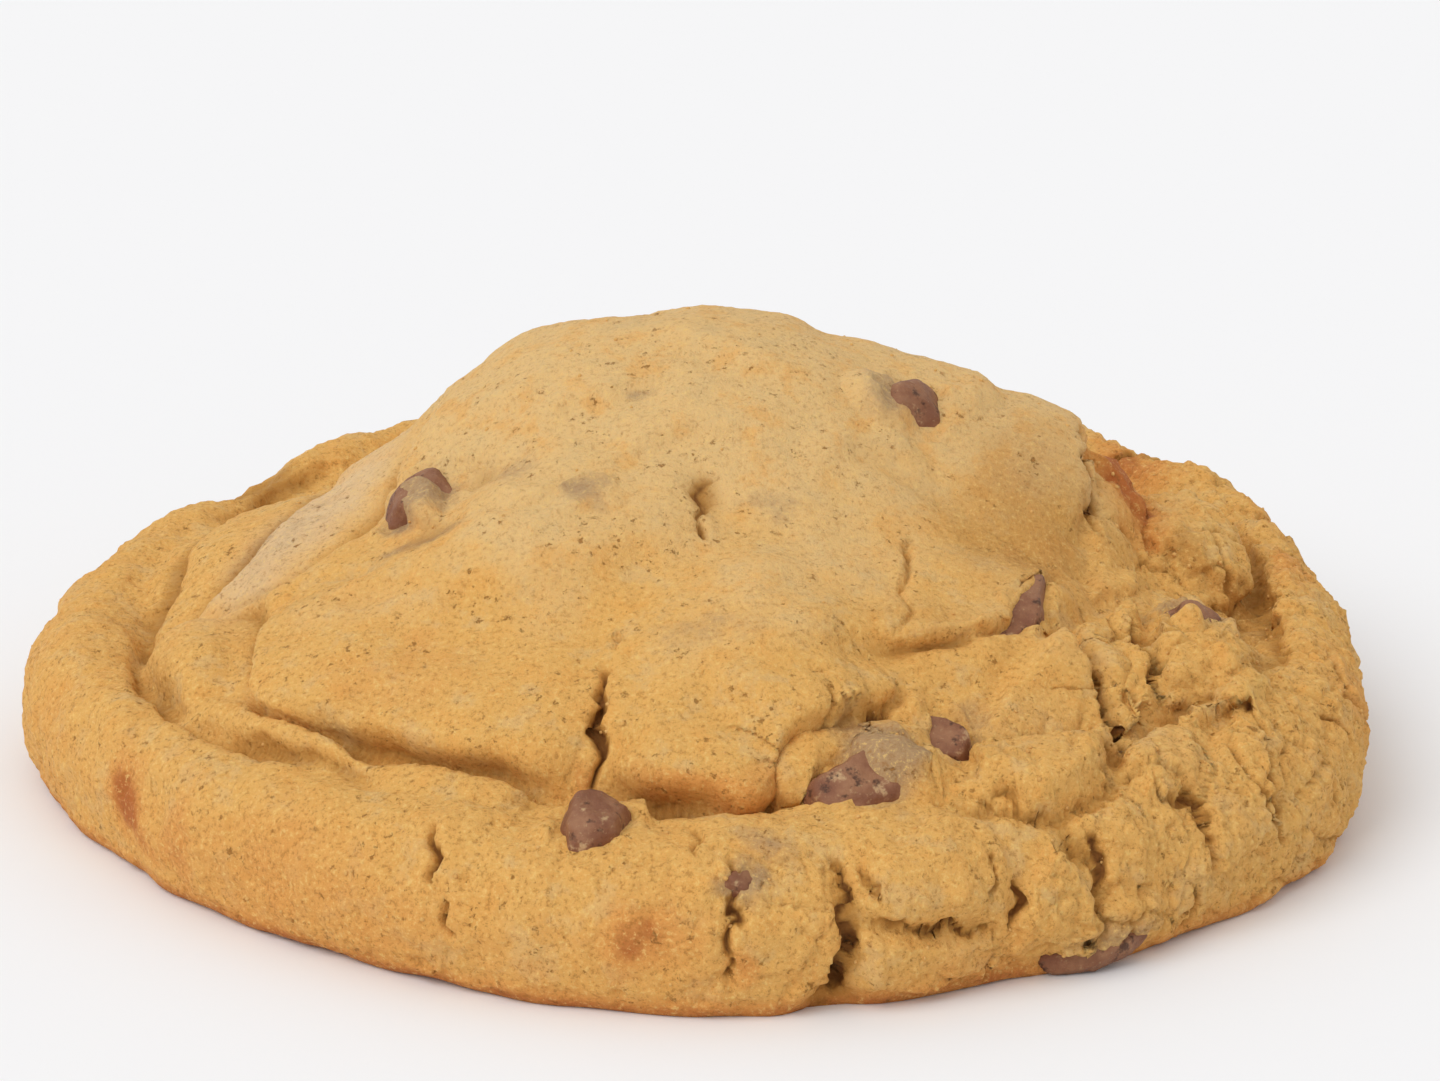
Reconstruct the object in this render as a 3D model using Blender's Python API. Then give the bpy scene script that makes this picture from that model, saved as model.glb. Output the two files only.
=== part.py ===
# Thick chocolate chip cookie: one domed body of dough with a rolled rim, and chips set in pockets.
# Sizes are in millimetres and the solids in metres, +Z up. The flat underside lies on z = 0 and
# the cracked side faces -Y. The dough's skin is worked out on a flat map: within the rim's crest
# the map is the plan, and beyond it the map runs on down the rim's wall to the foot.

import math

import bmesh
import bpy
import numpy as np
from mathutils import Matrix, Vector, noise

for old in list(bpy.data.objects):
    bpy.data.objects.remove(old, do_unlink=True)

mm = 0.001
gridSteps = 190        # divisions across the dough before it is thinned
doughShare = 0.100     # share of its triangles kept, most of them where the skin bends
wallRun = 17.0         # length of the map that runs down the rim's wall
bellyHeight = 5.5      # height at which the wall is widest
footTuck = 2.2         # how far the foot is drawn in under the belly
pocketGap = 0.3        # clearance between a chip and its pocket
slopeReach = 1.5       # reach over which the skin's slope under a chip is read
lumpSize = 11.0        # width of the dough's soft lumps
lumpHeight = 0.6
lipRise = 2.0          # height above a crease at which its lip hangs out farthest

# One column every 30 degrees from +X (the right-hand side), turning towards +Y (the back).
outerRadius = [51.9, 52.0, 51.5, 51.0, 50.8, 51.0, 52.8, 49.4, 49.4, 52.2, 51.4, 53.2]
crestHeight = [13.8, 16.0, 17.2, 16.6, 15.8, 14.0, 12.2, 11.6, 11.4, 11.8, 12.6, 12.8]
crestInset = [6.0, 5.5, 5.5, 6.0, 5.5, 5.5, 5.5, 4.8, 6.0, 8.6, 8.6, 7.0]
moatHeight = [10.9, 12.8, 13.6, 13.8, 13.2, 11.8, 9.8, 9.4, 9.9, 10.4, 11.2, 11.2]
flankRise = [6.5, 9.0, 9.0, 9.0, 8.0, 6.0, 5.5, 9.0, 10.0, 10.0, 8.0, 6.0]
flankPower = [0.8, 0.7, 0.7, 0.7, 0.8, 0.9, 0.8, 0.6, 0.5, 0.5, 0.6, 0.8]
# The crease inside the rim wanders more, so it has a column every 15 degrees.
moatInset = [9.5, 9.8, 10.5, 11.0, 11.5, 12.0, 11.5, 10.5, 9.6, 9.2, 9.6, 10.4,
             10.2, 9.4, 8.4, 9.2, 10.2, 11.4, 12.2, 12.4, 13.8, 12.0, 11.3, 10.2]

# Swellings of the dough: x, y, half length, half width, turn, top, drop, fullness, blend.
swellings = [
    (-1.0, -1.0, 41.0, 38.0, 0, 26.8, 16.8, 1.8, 3.0),      # the whole dome
    (0.0, 5.0, 30.0, 27.0, 0, 34.6, 22.0, 2.0, 5.0),        # its summit
    (-9.0, 5.0, 16.0, 20.0, 0, 32.8, 18.0, 2.2, 3.0),       # left shoulder
    (14.0, 6.0, 20.0, 18.0, 0, 30.6, 20.0, 2.0, 4.0),       # right shoulder
    (23.5, 3.0, 12.0, 17.0, -12, 27.2, 16.0, 2.3, 4.0),
    (-9.0, -13.0, 17.0, 13.0, 10, 26.2, 12.0, 2.2, 4.5),    # belly of the dome, left and middle
    (-22.0, -18.0, 12.0, 11.0, -30, 19.0, 9.0, 2.2, 3.5),
    (4.0, -22.0, 14.0, 14.0, 0, 21.8, 10.0, 2.2, 4.0),
    (-28.0, 3.0, 14.5, 20.0, 25, 19.0, 8.0, 2.2, 3.0),      # left flank
    (-36.8, -13.0, 4.6, 8.6, 12, 15.2, 5.0, 2.4, 0.8),      # small ear against the rim
    (-29.8, -27.0, 12.5, 3.3, -48, 13.6, 4.0, 2.4, 1.0),    # slim roll between dome and rim
    (-17.6, -36.2, 12.0, 3.2, -27, 12.9, 3.6, 2.4, 1.2),
    (17.5, -24.6, 14.0, 3.8, 14, 19.0, 6.0, 2.2, 2.0),      # roll below the dome, right
    (25.5, -16.0, 8.0, 3.2, 55, 19.6, 6.0, 2.2, 1.6),
    (10.5, -31.0, 9.0, 4.6, 14, 15.8, 5.0, 2.2, 1.8),
    (12.3, -38.2, 5.2, 4.6, 10, 13.9, 4.0, 2.2, 1.2),       # mound over a chip
    (35.0, -13.0, 8.5, 15.0, 14, 15.8, 4.5, 2.8, 2.0),      # shelf of broken crust
    (36.5, 6.0, 7.0, 11.0, -8, 17.6, 5.0, 2.4, 2.0),
]

# Slabs of broken crust standing up from the skin: corners, height, half width of the edge.
slabs = [
    ([(19.9, -32.2), (22.0, -27.4), (26.6, -21.6), (28.2, -23.4), (29.4, -26.4), (30.2, -31.6),
      (26.2, -37.4), (23.2, -38.9), (20.2, -38.2)], 1.6, 0.8),
    ([(28.0, -18.4), (33.0, -11.6), (33.7, -19.3), (34.3, -22.6), (33.8, -24.8), (30.6, -28.0),
      (29.6, -24.8)], 1.7, 0.8),
    ([(34.4, -11.8), (38.0, -7.4), (40.6, -13.2), (38.6, -20.5), (35.8, -23.2), (34.9, -22.4),
      (34.5, -18.7)], 1.0, 0.8),
    ([(38.4, -19.9), (40.8, -19.4), (42.0, -21.6), (40.6, -24.6), (38.9, -24.4)], 1.6, 0.8),
    ([(31.0, -32.4), (35.2, -26.2), (38.2, -24.8), (35.6, -31.0), (34.6, -34.0), (31.4, -35.6)], 1.0, 0.8),
    ([(39.2, -25.2), (41.6, -26.0), (41.2, -29.3), (43.4, -31.5), (39.0, -37.0), (36.6, -35.4),
      (36.0, -33.4), (36.8, -30.3)], 0.8, 0.8),
    ([(12.0, -49.8), (14.6, -49.7), (18.2, -49.0), (21.2, -47.8), (22.4, -48.4), (23.2, -50.6),
      (17.9, -53.6), (12.9, -54.0)], 0.6, 0.8),
    ([(12.8, -45.0), (17.0, -41.4), (20.0, -41.2), (21.0, -43.6), (20.6, -45.6), (17.4, -47.2),
      (13.8, -47.8), (12.2, -47.0)], 0.7, 0.8),
    ([(24.2, -41.2), (26.6, -42.4), (28.2, -43.8), (25.7, -46.2), (23.2, -46.2), (22.8, -44.0)], 0.8, 0.8),
    ([(30.0, 4.0), (33.0, 9.0), (38.0, 11.0), (42.0, 7.0), (42.8, 1.0), (39.0, -1.0), (34.0, 2.0)], 1.3, 0.8),
    ([(29.9, 1.2), (33.2, 3.2), (35.4, -1.4), (32.6, -9.6), (29.8, -12.0), (30.2, -6.0)], 0.9, 0.8),
]

# Creases: points on the map, depth, half width, step up on the left-hand side, its reach, and how far
# the upper lip hangs out over the crease.
creases = [
    ([(-32.5, -16.3), (-32.0, -21.0), (-31.1, -24.6), (-27.7, -27.9), (-20.8, -32.5), (-15.6, -35.2),
      (-12.2, -37.3), (-9.6, -38.8)], 1.6, 0.8, 1.4, 4.0, 1.8),
    ([(-6.4, -38.6), (-4.0, -39.4), (0.2, -40.0), (3.6, -40.3), (5.2, -39.4), (5.2, -37.9), (6.6, -36.1),
      (9.5, -34.2), (12.6, -32.4)], 1.5, 0.8, 1.4, 4.0, 1.9),
    ([(-42.6, -5.0), (-42.2, -12.0), (-39.6, -18.4), (-37.6, -22.5), (-33.3, -27.4), (-28.4, -31.2),
      (-23.1, -35.7)], 1.3, 0.7, 0.4, 3.0, 0.6),
    ([(-36.5, -9.6), (-33.6, -11.5), (-32.6, -14.5), (-32.5, -18.0), (-32.2, -20.5)], 1.0, 0.7, 0.3, 3.0, 0.3),
    ([(-42.6, -6.0), (-42.0, 2.0), (-40.5, 9.0), (-38.5, 15.0), (-36.6, 20.5), (-34.5, 26.0),
      (-31.0, 30.5)], 1.4, 1.0, 0.0, 3.0, 0.0),
    ([(-39.5, -6.0), (-36.0, -3.0), (-33.0, 1.5), (-30.0, 8.0), (-27.5, 14.0)], 1.0, 1.0, -0.7, 3.0, -0.8),
    ([(-36.7, -8.0), (-31.5, -9.8), (-28.0, -8.6), (-24.8, -6.0), (-22.8, -1.0), (-20.0, 5.0)],
     0.8, 1.0, -0.6, 3.0, -0.8),
    ([(-32.4, -14.4), (-29.5, -13.2), (-26.5, -13.6), (-23.8, -15.4)], 0.5, 0.8, 0.3, 3.0, 0.2),
    ([(2.5, -30.8), (7.0, -30.0), (10.5, -28.2), (14.6, -26.2), (19.0, -24.8)], 0.6, 1.6, 0.6, 5.0, 0.3),
    ([(13.5, -26.6), (17.8, -25.2), (21.2, -23.5), (23.6, -19.6), (25.6, -15.6), (27.2, -11.5)],
     1.2, 0.8, 1.4, 5.0, 1.4),
    ([(11.9, -34.2), (12.9, -33.0), (14.3, -30.8), (15.2, -29.4)], 1.0, 0.7, 0.5, 3.0, 0.6),
    ([(30.2, -33.4), (31.6, -30.2), (33.4, -27.3), (35.9, -24.6), (38.7, -22.9), (41.7, -18.8),
      (43.4, -13.0)], 1.2, 0.8, 0.4, 3.0, 0.5),
    ([(43.6, -14.0), (44.1, -8.0), (44.0, 0.0), (43.4, 8.0), (40.5, 17.0)], 1.1, 1.0, 0.0, 3.0, 0.0),
    ([(17.3, -40.0), (19.9, -39.9), (22.8, -39.8), (25.4, -38.8), (28.0, -36.6), (30.2, -33.4)],
     1.1, 0.7, 0.5, 3.0, 0.4),
    ([(25.0, -39.8), (26.7, -41.2), (28.4, -41.8), (29.4, -44.4), (28.8, -46.5)], 0.9, 0.7, 0.0, 3.0, 0.0),
    ([(9.2, -46.0), (10.5, -48.6), (11.0, -52.0), (10.6, -56.0), (10.6, -60.0)], 1.2, 0.8, 0.0, 3.0, 0.0),
    ([(11.4, -49.0), (14.4, -48.9), (17.8, -48.3), (20.6, -46.9)], 0.9, 0.7, 0.4, 3.0, 0.5),
    ([(29.4, -6.5), (30.6, -1.0), (30.2, 4.0), (29.6, 10.0)], 0.9, 0.8, 0.9, 4.0, 0.8),
    ([(15.0, 38.0), (22.0, 34.0), (29.0, 27.0)], 1.0, 1.2, 0.8, 4.0, 0.8),
    ([(-20.0, 33.0), (-12.0, 37.0), (-3.0, 38.5)], 1.0, 1.2, -0.8, 4.0, -0.8),
]

# Dents pressed into the skin: x, y, half length, half width, turn, depth.
dents = [
    (-20.3, -14.0, 3.4, 2.0, -10, 0.8),
    (-16.0, -8.6, 1.8, 1.4, 0, 0.7),
    (0.9, -13.9, 1.2, 1.8, 30, 1.0),
    (-12.0, -39.8, 1.6, 1.0, 0, 0.8),
    (32.1, -34.9, 1.6, 0.9, 30, 0.5),
    (35.3, -34.2, 1.8, 0.9, -20, 0.5),
    (27.6, -40.4, 1.8, 1.0, -20, 0.5),
    (22.2, -45.6, 0.7, 1.6, 0, 0.5),
    (10.5, -56.5, 2.4, 2.2, 0, 1.3),
    (-37.4, 28.2, 4.2, 2.4, 50, 2.2),
    (-24.0, 44.0, 3.0, 2.4, 30, 0.9),
    (38.0, 29.5, 3.2, 2.2, 40, 1.0),
    (6.0, 24.0, 2.4, 1.6, 20, 0.7),
]

# Chips: name, map x, map y, half length, half width, half height, turn, lift of the centre.
chips = [
    ("chip_left", -20.3, -7.6, 3.8, 3.2, 3.6, 38, -1.4),
    ("chip_front", -7.0, -43.2, 3.2, 3.7, 3.4, -25, -0.9),
    ("chip_middle", 12.1, -38.2, 4.7, 4.0, 3.2, 15, -1.9),
    ("chip_dark", 18.0, -32.6, 2.6, 3.1, 3.0, 60, -1.1),
    ("chip_fold", 23.6, -19.2, 5.4, 2.4, 2.8, 66, -1.2),
    ("chip_top", 16.4, -1.2, 4.2, 3.2, 3.0, 60, -1.6),
    ("chip_right", 36.9, -14.2, 2.8, 2.0, 2.4, 10, -1.1),
    ("chip_foot", 31.6, -46.2, 4.8, 2.0, 2.4, 35, -0.9),
    ("chip_small", 2.9, -48.0, 1.8, 1.2, 1.5, 0, -0.9),
    ("chip_dome", -8.0, -15.1, 2.0, 1.7, 2.0, 10, -1.3),
    ("chip_back_left", -22.0, 29.0, 4.0, 3.4, 3.2, -30, -1.3),
    ("chip_back", 5.0, 35.5, 3.6, 3.0, 3.0, 15, -1.2),
    ("chip_back_right", 27.5, 20.5, 4.4, 3.6, 3.2, 40, -1.5),
    ("chip_back_rim", -6.0, 51.0, 3.2, 2.6, 2.6, 5, -1.0),
]


def around(values, angle):
    # smooth closed curve through the columns of a station list
    v = np.asarray(values, float)
    n = len(v)
    t = (np.degrees(angle) % 360.0) / 360.0 * n
    i = np.floor(t).astype(int)
    f = t - i
    p0, p1, p2, p3 = (v[(i + k) % n] for k in (-1, 0, 1, 2))
    return p1 + 0.5 * f * (p2 - p0 + f * (2 * p0 - 5 * p1 + 4 * p2 - p3 + f * (3 * (p1 - p2) + p3 - p0)))


def merged(a, b, width):
    # the higher of two surfaces, with a fillet of the given width where they meet
    h = np.clip(0.5 + 0.5 * (a - b) / width, 0.0, 1.0)
    return b * (1.0 - h) + a * h + width * h * (1.0 - h)


def ovalReach(x, y, cx, cy, a, b, turn):
    # 0 at the oval's centre and 1 on its edge
    c, s = math.cos(math.radians(turn)), math.sin(math.radians(turn))
    u = ((x - cx) * c + (y - cy) * s) / a
    v = ((y - cy) * c - (x - cx) * s) / b
    return np.hypot(u, v)


def topHeight(x, y):
    angle = np.arctan2(y, x)
    r = np.hypot(x, y)
    outer = around(outerRadius, angle)
    crestR = outer - around(crestInset, angle)
    moatR = outer - around(moatInset, angle)
    crest = around(crestHeight, angle)
    moat = around(moatHeight, angle)
    t = np.clip((r - moatR) / (crestR - moatR), 0.0, 1.0)
    rim = moat + (crest - moat) * np.sin(t * math.pi / 2) ** 0.9
    q = np.clip(r / moatR, 0.0, 1.0)
    flank = moat + around(flankRise, angle) * (1.0 - q ** 3) ** around(flankPower, angle)
    z = np.where(r < moatR, flank, rim)
    for cx, cy, a, b, turn, top, drop, fullness, blend in swellings:
        t = ovalReach(x, y, cx, cy, a, b, turn)
        cap = np.where(t < 1.0, np.maximum(1.0 - t ** fullness, 0.0) ** 0.75, 2.0 * (1.0 - t))
        z = merged(z, top - drop + drop * cap, blend)
    return z


def skinPoint(mapX, mapY):
    angle = np.arctan2(mapY, mapX)
    reach = np.hypot(mapX, mapY)
    outer = around(outerRadius, angle)
    inset = around(crestInset, angle)
    crest = around(crestHeight, angle)
    crestR = outer - inset
    turn = np.clip((reach - crestR) / wallRun, 0.0, 1.0) * math.pi
    upper = turn < math.pi / 2
    wallR = np.where(upper, crestR + inset * np.sin(turn) ** 0.9,
                     outer - footTuck * (1.0 - np.sin(turn) ** 0.8))
    wallZ = np.where(upper, bellyHeight + (crest - bellyHeight) * np.maximum(np.cos(turn), 0.0) ** 0.95,
                     bellyHeight * (1.0 - np.maximum(-np.cos(turn), 0.0)))
    onTop = reach <= crestR
    x = np.where(onTop, mapX, wallR * np.cos(angle))
    y = np.where(onTop, mapY, wallR * np.sin(angle))
    z = np.where(onTop, topHeight(mapX, mapY), wallZ)
    return np.stack([x, y, z], -1)


def smoothLine(points, step=0.5):
    p = np.asarray(points, float)
    q = np.vstack([2 * p[0] - p[1], p, 2 * p[-1] - p[-2]])
    out = []
    for i in range(1, len(q) - 2):
        n = max(2, int(np.hypot(*(q[i + 1] - q[i])) / step))
        t = np.linspace(0.0, 1.0, n, endpoint=False)[:, None]
        p0, p1, p2, p3 = q[i - 1], q[i], q[i + 1], q[i + 2]
        out.append(p1 + 0.5 * t * (p2 - p0 + t * (2 * p0 - 5 * p1 + 4 * p2 - p3
                                                  + t * (3 * (p1 - p2) + p3 - p0))))
    out.append(q[-2][None])
    return np.vstack(out)


def creaseRelief(x, y, crease):
    # height change, and the sideways push that lets the upper lip hang over the crease
    points, depth, width, step, reach, hang = crease
    line = smoothLine(points)
    along = np.gradient(line, axis=0)
    along /= np.linalg.norm(along, axis=1)[:, None] + 1e-9
    low, high = line.min(0) - 3 * reach, line.max(0) + 3 * reach
    near = (x > low[0]) & (x < high[0]) & (y > low[1]) & (y < high[1])
    px, py = x[near], y[near]
    gap2 = (px[:, None] - line[:, 0]) ** 2 + (py[:, None] - line[:, 1]) ** 2
    k = gap2.argmin(1)
    d = np.sqrt(gap2[np.arange(len(k)), k])
    across = along[k, 0] * (py - line[k, 1]) - along[k, 1] * (px - line[k, 0])
    share = k / (len(line) - 1)
    taper = np.clip(np.minimum(share, 1.0 - share) * 5.0, 0.0, 1.0) ** 0.7
    ends = np.clip(1.0 - np.maximum(d - np.abs(across), 0.0) / 1.5, 0.0, 1.0)
    upper = 1.0 / (1.0 + np.exp(-np.clip(across / (width * 0.35), -30, 30)))
    groove = -depth * np.exp(-(d / width) ** 2) * (0.35 + 0.65 * taper)
    lip = step * upper * np.exp(-np.abs(across) / reach) * taper
    height = np.zeros_like(x)
    height[near] = (groove + lip) * ends
    # the push is greatest a little way above the crease, and moves towards it
    above = np.clip(across * np.sign(hang + 1e-9) / lipRise, 0.0, 8.0)
    out = abs(hang) * above * np.exp(1.0 - above) * taper * ends
    push = np.zeros(x.shape + (3,))
    push[near, 0] = along[k, 1] * np.sign(hang) * out
    push[near, 1] = -along[k, 0] * np.sign(hang) * out
    return height, push


def insideDepth(x, y, corners):
    # distance inside an outline of map points, negative outside it
    depth = np.full(x.shape, 1e9)
    inside = np.zeros(x.shape, bool)
    for (ax, ay), (bx, by) in zip(corners, corners[1:] + corners[:1]):
        ex, ey = bx - ax, by - ay
        t = np.clip(((x - ax) * ex + (y - ay) * ey) / (ex * ex + ey * ey), 0.0, 1.0)
        depth = np.minimum(depth, np.hypot(x - ax - t * ex, y - ay - t * ey))
        if ey:
            inside ^= ((ay > y) != (by > y)) & (x < ax + ex * (y - ay) / ey)
    return np.where(inside, depth, -depth)


def relief(x, y):
    height = np.zeros_like(x)
    push = np.zeros(x.shape + (3,))
    for corners, lift, edge in slabs:
        t = np.clip(0.5 + 0.5 * insideDepth(x, y, corners) / edge, 0.0, 1.0)
        height += lift * t * t * (3.0 - 2.0 * t)
    for crease in creases:
        lift, slide = creaseRelief(x, y, crease)
        height += lift
        push += slide
    for cx, cy, a, b, turn, depth in dents:
        height -= depth * np.exp(-ovalReach(x, y, cx, cy, a, b, turn) ** 2)
    return height, push


def mapGrid(n):
    # a square grid drawn out to a disc, so that no two of its points meet at the centre
    g = np.linspace(-1.0, 1.0, n + 1)
    a, b = np.meshgrid(g, g)
    wide = np.abs(a) > np.abs(b)
    r = np.where(wide, a, b)
    safeA = np.where(a == 0, 1e-9, a)
    safeB = np.where(b == 0, 1e-9, b)
    turn = np.where(wide, math.pi / 4 * b / safeA, math.pi / 2 - math.pi / 4 * a / safeB)
    u, v = r * np.cos(turn), r * np.sin(turn)
    angle = np.arctan2(v, u)
    full = np.hypot(u, v) * (around(outerRadius, angle) - around(crestInset, angle) + wallRun)
    return full * np.cos(angle), full * np.sin(angle)


def gridNormals(p):
    n = np.cross(np.gradient(p, axis=1), np.gradient(p, axis=0))
    return n / (np.linalg.norm(n, axis=-1, keepdims=True) + 1e-12)


def lumps(p):
    flat = p.reshape(-1, 3)
    return np.array([noise.noise(Vector(q) / lumpSize) + 0.6 * noise.noise(Vector(q) * 2.3 / lumpSize)
                     for q in flat]).reshape(p.shape[:2])


def principled(name, color, roughness):
    mat = bpy.data.materials.new(name)
    mat.use_nodes = True
    shader = mat.node_tree.nodes["Principled BSDF"]
    shader.inputs["Base Color"].default_value = (*color, 1.0)
    shader.inputs["Roughness"].default_value = roughness
    return mat


def place(name, mesh, mat=None):
    obj = bpy.data.objects.new(name, mesh)
    bpy.context.scene.collection.objects.link(obj)
    if mat:
        mesh.materials.append(mat)
    return obj


def applyModifiers(obj):
    bpy.context.view_layer.update()
    seen = obj.evaluated_get(bpy.context.evaluated_depsgraph_get())
    mesh = bpy.data.meshes.new_from_object(seen)
    obj.modifiers.clear()
    obj.data = mesh


def buildDough(mat):
    mapX, mapY = mapGrid(gridSteps)
    p = skinPoint(mapX, mapY)
    height, push = relief(mapX, mapY)
    p = p + gridNormals(p) * (height + lumpHeight * lumps(p))[..., None] + push
    edge = np.zeros(mapX.shape, bool)
    edge[0, :] = edge[-1, :] = edge[:, 0] = edge[:, -1] = True
    p[..., 2] = np.where(edge, 0.0, np.maximum(p[..., 2], 0.02))
    n = gridSteps + 1
    ids = np.arange(n * n).reshape(n, n)
    quads = np.stack([ids[:-1, :-1], ids[:-1, 1:], ids[1:, 1:], ids[1:, :-1]], -1).reshape(-1, 4)
    foot = list(ids[0, :]) + list(ids[1:, -1]) + list(ids[-1, -2::-1]) + list(ids[-2:0:-1, 0])
    faces = quads.tolist() + [[int(i) for i in reversed(foot)]]
    mesh = bpy.data.meshes.new("dough")
    mesh.from_pydata((p.reshape(-1, 3) * mm).tolist(), [], faces)
    mesh.update()
    obj = place("dough", mesh, mat)
    thin = obj.modifiers.new("thin", "DECIMATE")
    thin.ratio = doughShare
    thin.use_collapse_triangulate = True
    applyModifiers(obj)
    for v in obj.data.vertices:
        if v.co.z < 0.15 * mm:
            v.co.z = 0.0
    return obj


def chipMesh(name, half, grow=0.0, segments=12, rings=7):
    # a chip's form: round in plan, flat below, drawn up to a blunt tip, with soft edges
    mesh = bpy.data.meshes.new(name)
    bm = bmesh.new()
    levels = []
    for j in range(1, rings):
        th = math.pi * j / rings
        up = math.cos(th)
        wide = math.sin(th) ** (0.8 if up < 0 else 1.15)
        z = up if up > 0 else 0.72 * up
        levels.append([bm.verts.new(((half[0] + grow) * wide * math.cos(a),
                                     (half[1] + grow) * wide * math.sin(a),
                                     (half[2] + grow) * z))
                       for a in (2 * math.pi * i / segments for i in range(segments))])
    tip = bm.verts.new((0, 0, half[2] + grow))
    base = bm.verts.new((0, 0, -0.72 * (half[2] + grow)))
    for i in range(segments):
        k = (i + 1) % segments
        bm.faces.new((tip, levels[0][i], levels[0][k]))
        bm.faces.new((base, levels[-1][k], levels[-1][i]))
        for low, high in zip(levels[1:], levels[:-1]):
            bm.faces.new((high[i], low[i], low[k], high[k]))
    bmesh.ops.scale(bm, vec=(mm, mm, mm), verts=bm.verts)
    bmesh.ops.triangulate(bm, faces=bm.faces)
    bm.to_mesh(mesh)
    bm.free()
    return mesh


def chipFrame(mapX, mapY, turn, lift):
    # axes on the skin at a map point: z is its outward normal
    columns = np.array([[mapX - slopeReach, mapX, mapX + slopeReach]] * 3)
    rows = np.array([[mapY - slopeReach] * 3, [mapY] * 3, [mapY + slopeReach] * 3])
    p = skinPoint(columns, rows)
    height, push = relief(columns, rows)
    centre = p[1, 1] + gridNormals(p)[1, 1] * height[1, 1] + push[1, 1]
    normal = Vector(gridNormals(p)[1, 1])
    side = Vector(p[1, 2] - p[1, 0])
    side = (side - normal * side.dot(normal)).normalized()
    matrix = Matrix((side, normal.cross(side), normal)).transposed().to_4x4()
    matrix = Matrix.Translation((Vector(centre) + normal * lift) * mm) @ matrix
    return matrix @ Matrix.Rotation(math.radians(turn), 4, "Z")


doughMat = principled("baked_dough", (0.64, 0.36, 0.12), 0.75)
chipMat = principled("milk_chocolate", (0.19, 0.085, 0.045), 0.45)
dough = buildDough(doughMat)

for name, mapX, mapY, a, b, c, turn, lift in chips:
    frame = chipFrame(mapX, mapY, turn, lift)
    chip = place(name, chipMesh(name, (a, b, c)), chipMat)
    chip.data.transform(frame)
    cutter = place(name + "_pocket", chipMesh(name + "_pocket", (a, b, c), grow=pocketGap))
    cutter.data.transform(frame)
    for v in chip.data.vertices:
        v.co.z = max(v.co.z, 0.0)
    cutter.hide_render = True
    cutter.display_type = "WIRE"
    cut = dough.modifiers.new(name, "BOOLEAN")
    cut.operation = "DIFFERENCE"
    cut.solver = "EXACT"
    cut.object = cutter

applyModifiers(dough)
tidy = bmesh.new()
tidy.from_mesh(dough.data)
bmesh.ops.remove_doubles(tidy, verts=tidy.verts, dist=0.02 * mm)
bmesh.ops.dissolve_degenerate(tidy, edges=tidy.edges, dist=0.01 * mm)
bmesh.ops.triangulate(tidy, faces=tidy.faces)
tidy.to_mesh(dough.data)
tidy.free()
for obj in list(bpy.data.objects):
    if obj.name.endswith("_pocket"):
        bpy.data.objects.remove(obj, do_unlink=True)

# The whole cookie is centred on its bounding box, with its underside on z = 0.
points = np.array([v.co for obj in bpy.data.objects for v in obj.data.vertices])
middle = (points.min(0) + points.max(0)) / 2
shift = Matrix.Translation((-middle[0], -middle[1], 0.0))
for obj in bpy.data.objects:
    obj.data.transform(shift)
    obj.data.update()
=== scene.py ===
# Looks of a thick chocolate chip cookie: one baked dough piece with folds, cracks and crumb,
# softened milk chocolate chips half sunk in it, and loose grains of crumb on its crust.
# Shapes are worked out in millimetres on the cookie's own flat map and placed by the CAD frame.

import math

import bmesh
import bpy
import numpy as np
from mathutils import Matrix, Vector, noise


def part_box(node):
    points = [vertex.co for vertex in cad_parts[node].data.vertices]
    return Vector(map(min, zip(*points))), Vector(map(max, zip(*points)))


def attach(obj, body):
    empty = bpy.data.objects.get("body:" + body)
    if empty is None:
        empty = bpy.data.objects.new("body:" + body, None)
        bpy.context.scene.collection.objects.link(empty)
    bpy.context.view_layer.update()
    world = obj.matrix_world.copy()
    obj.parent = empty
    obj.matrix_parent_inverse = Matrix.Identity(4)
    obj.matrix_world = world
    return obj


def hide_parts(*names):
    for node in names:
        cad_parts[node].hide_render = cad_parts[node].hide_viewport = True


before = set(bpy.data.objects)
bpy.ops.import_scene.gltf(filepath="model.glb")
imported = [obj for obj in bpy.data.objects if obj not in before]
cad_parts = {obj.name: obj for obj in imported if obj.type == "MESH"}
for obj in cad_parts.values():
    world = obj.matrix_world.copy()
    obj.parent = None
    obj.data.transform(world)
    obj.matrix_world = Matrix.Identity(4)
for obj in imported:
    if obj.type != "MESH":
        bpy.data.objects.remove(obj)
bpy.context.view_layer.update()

mm = 0.001


def hexColor(code):
    # sRGB hex to the linear values that shaders take
    parts = [int(code[i:i + 2], 16) / 255 for i in (1, 3, 5)]
    return tuple(c / 12.92 if c <= 0.04045 else ((c + 0.055) / 1.055) ** 2.4 for c in parts) + (1.0,)


def placeMesh(name, mesh, material=None):
    obj = bpy.data.objects.new(name, mesh)
    bpy.context.scene.collection.objects.link(obj)
    if material:
        mesh.materials.append(material)
    return obj


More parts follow.
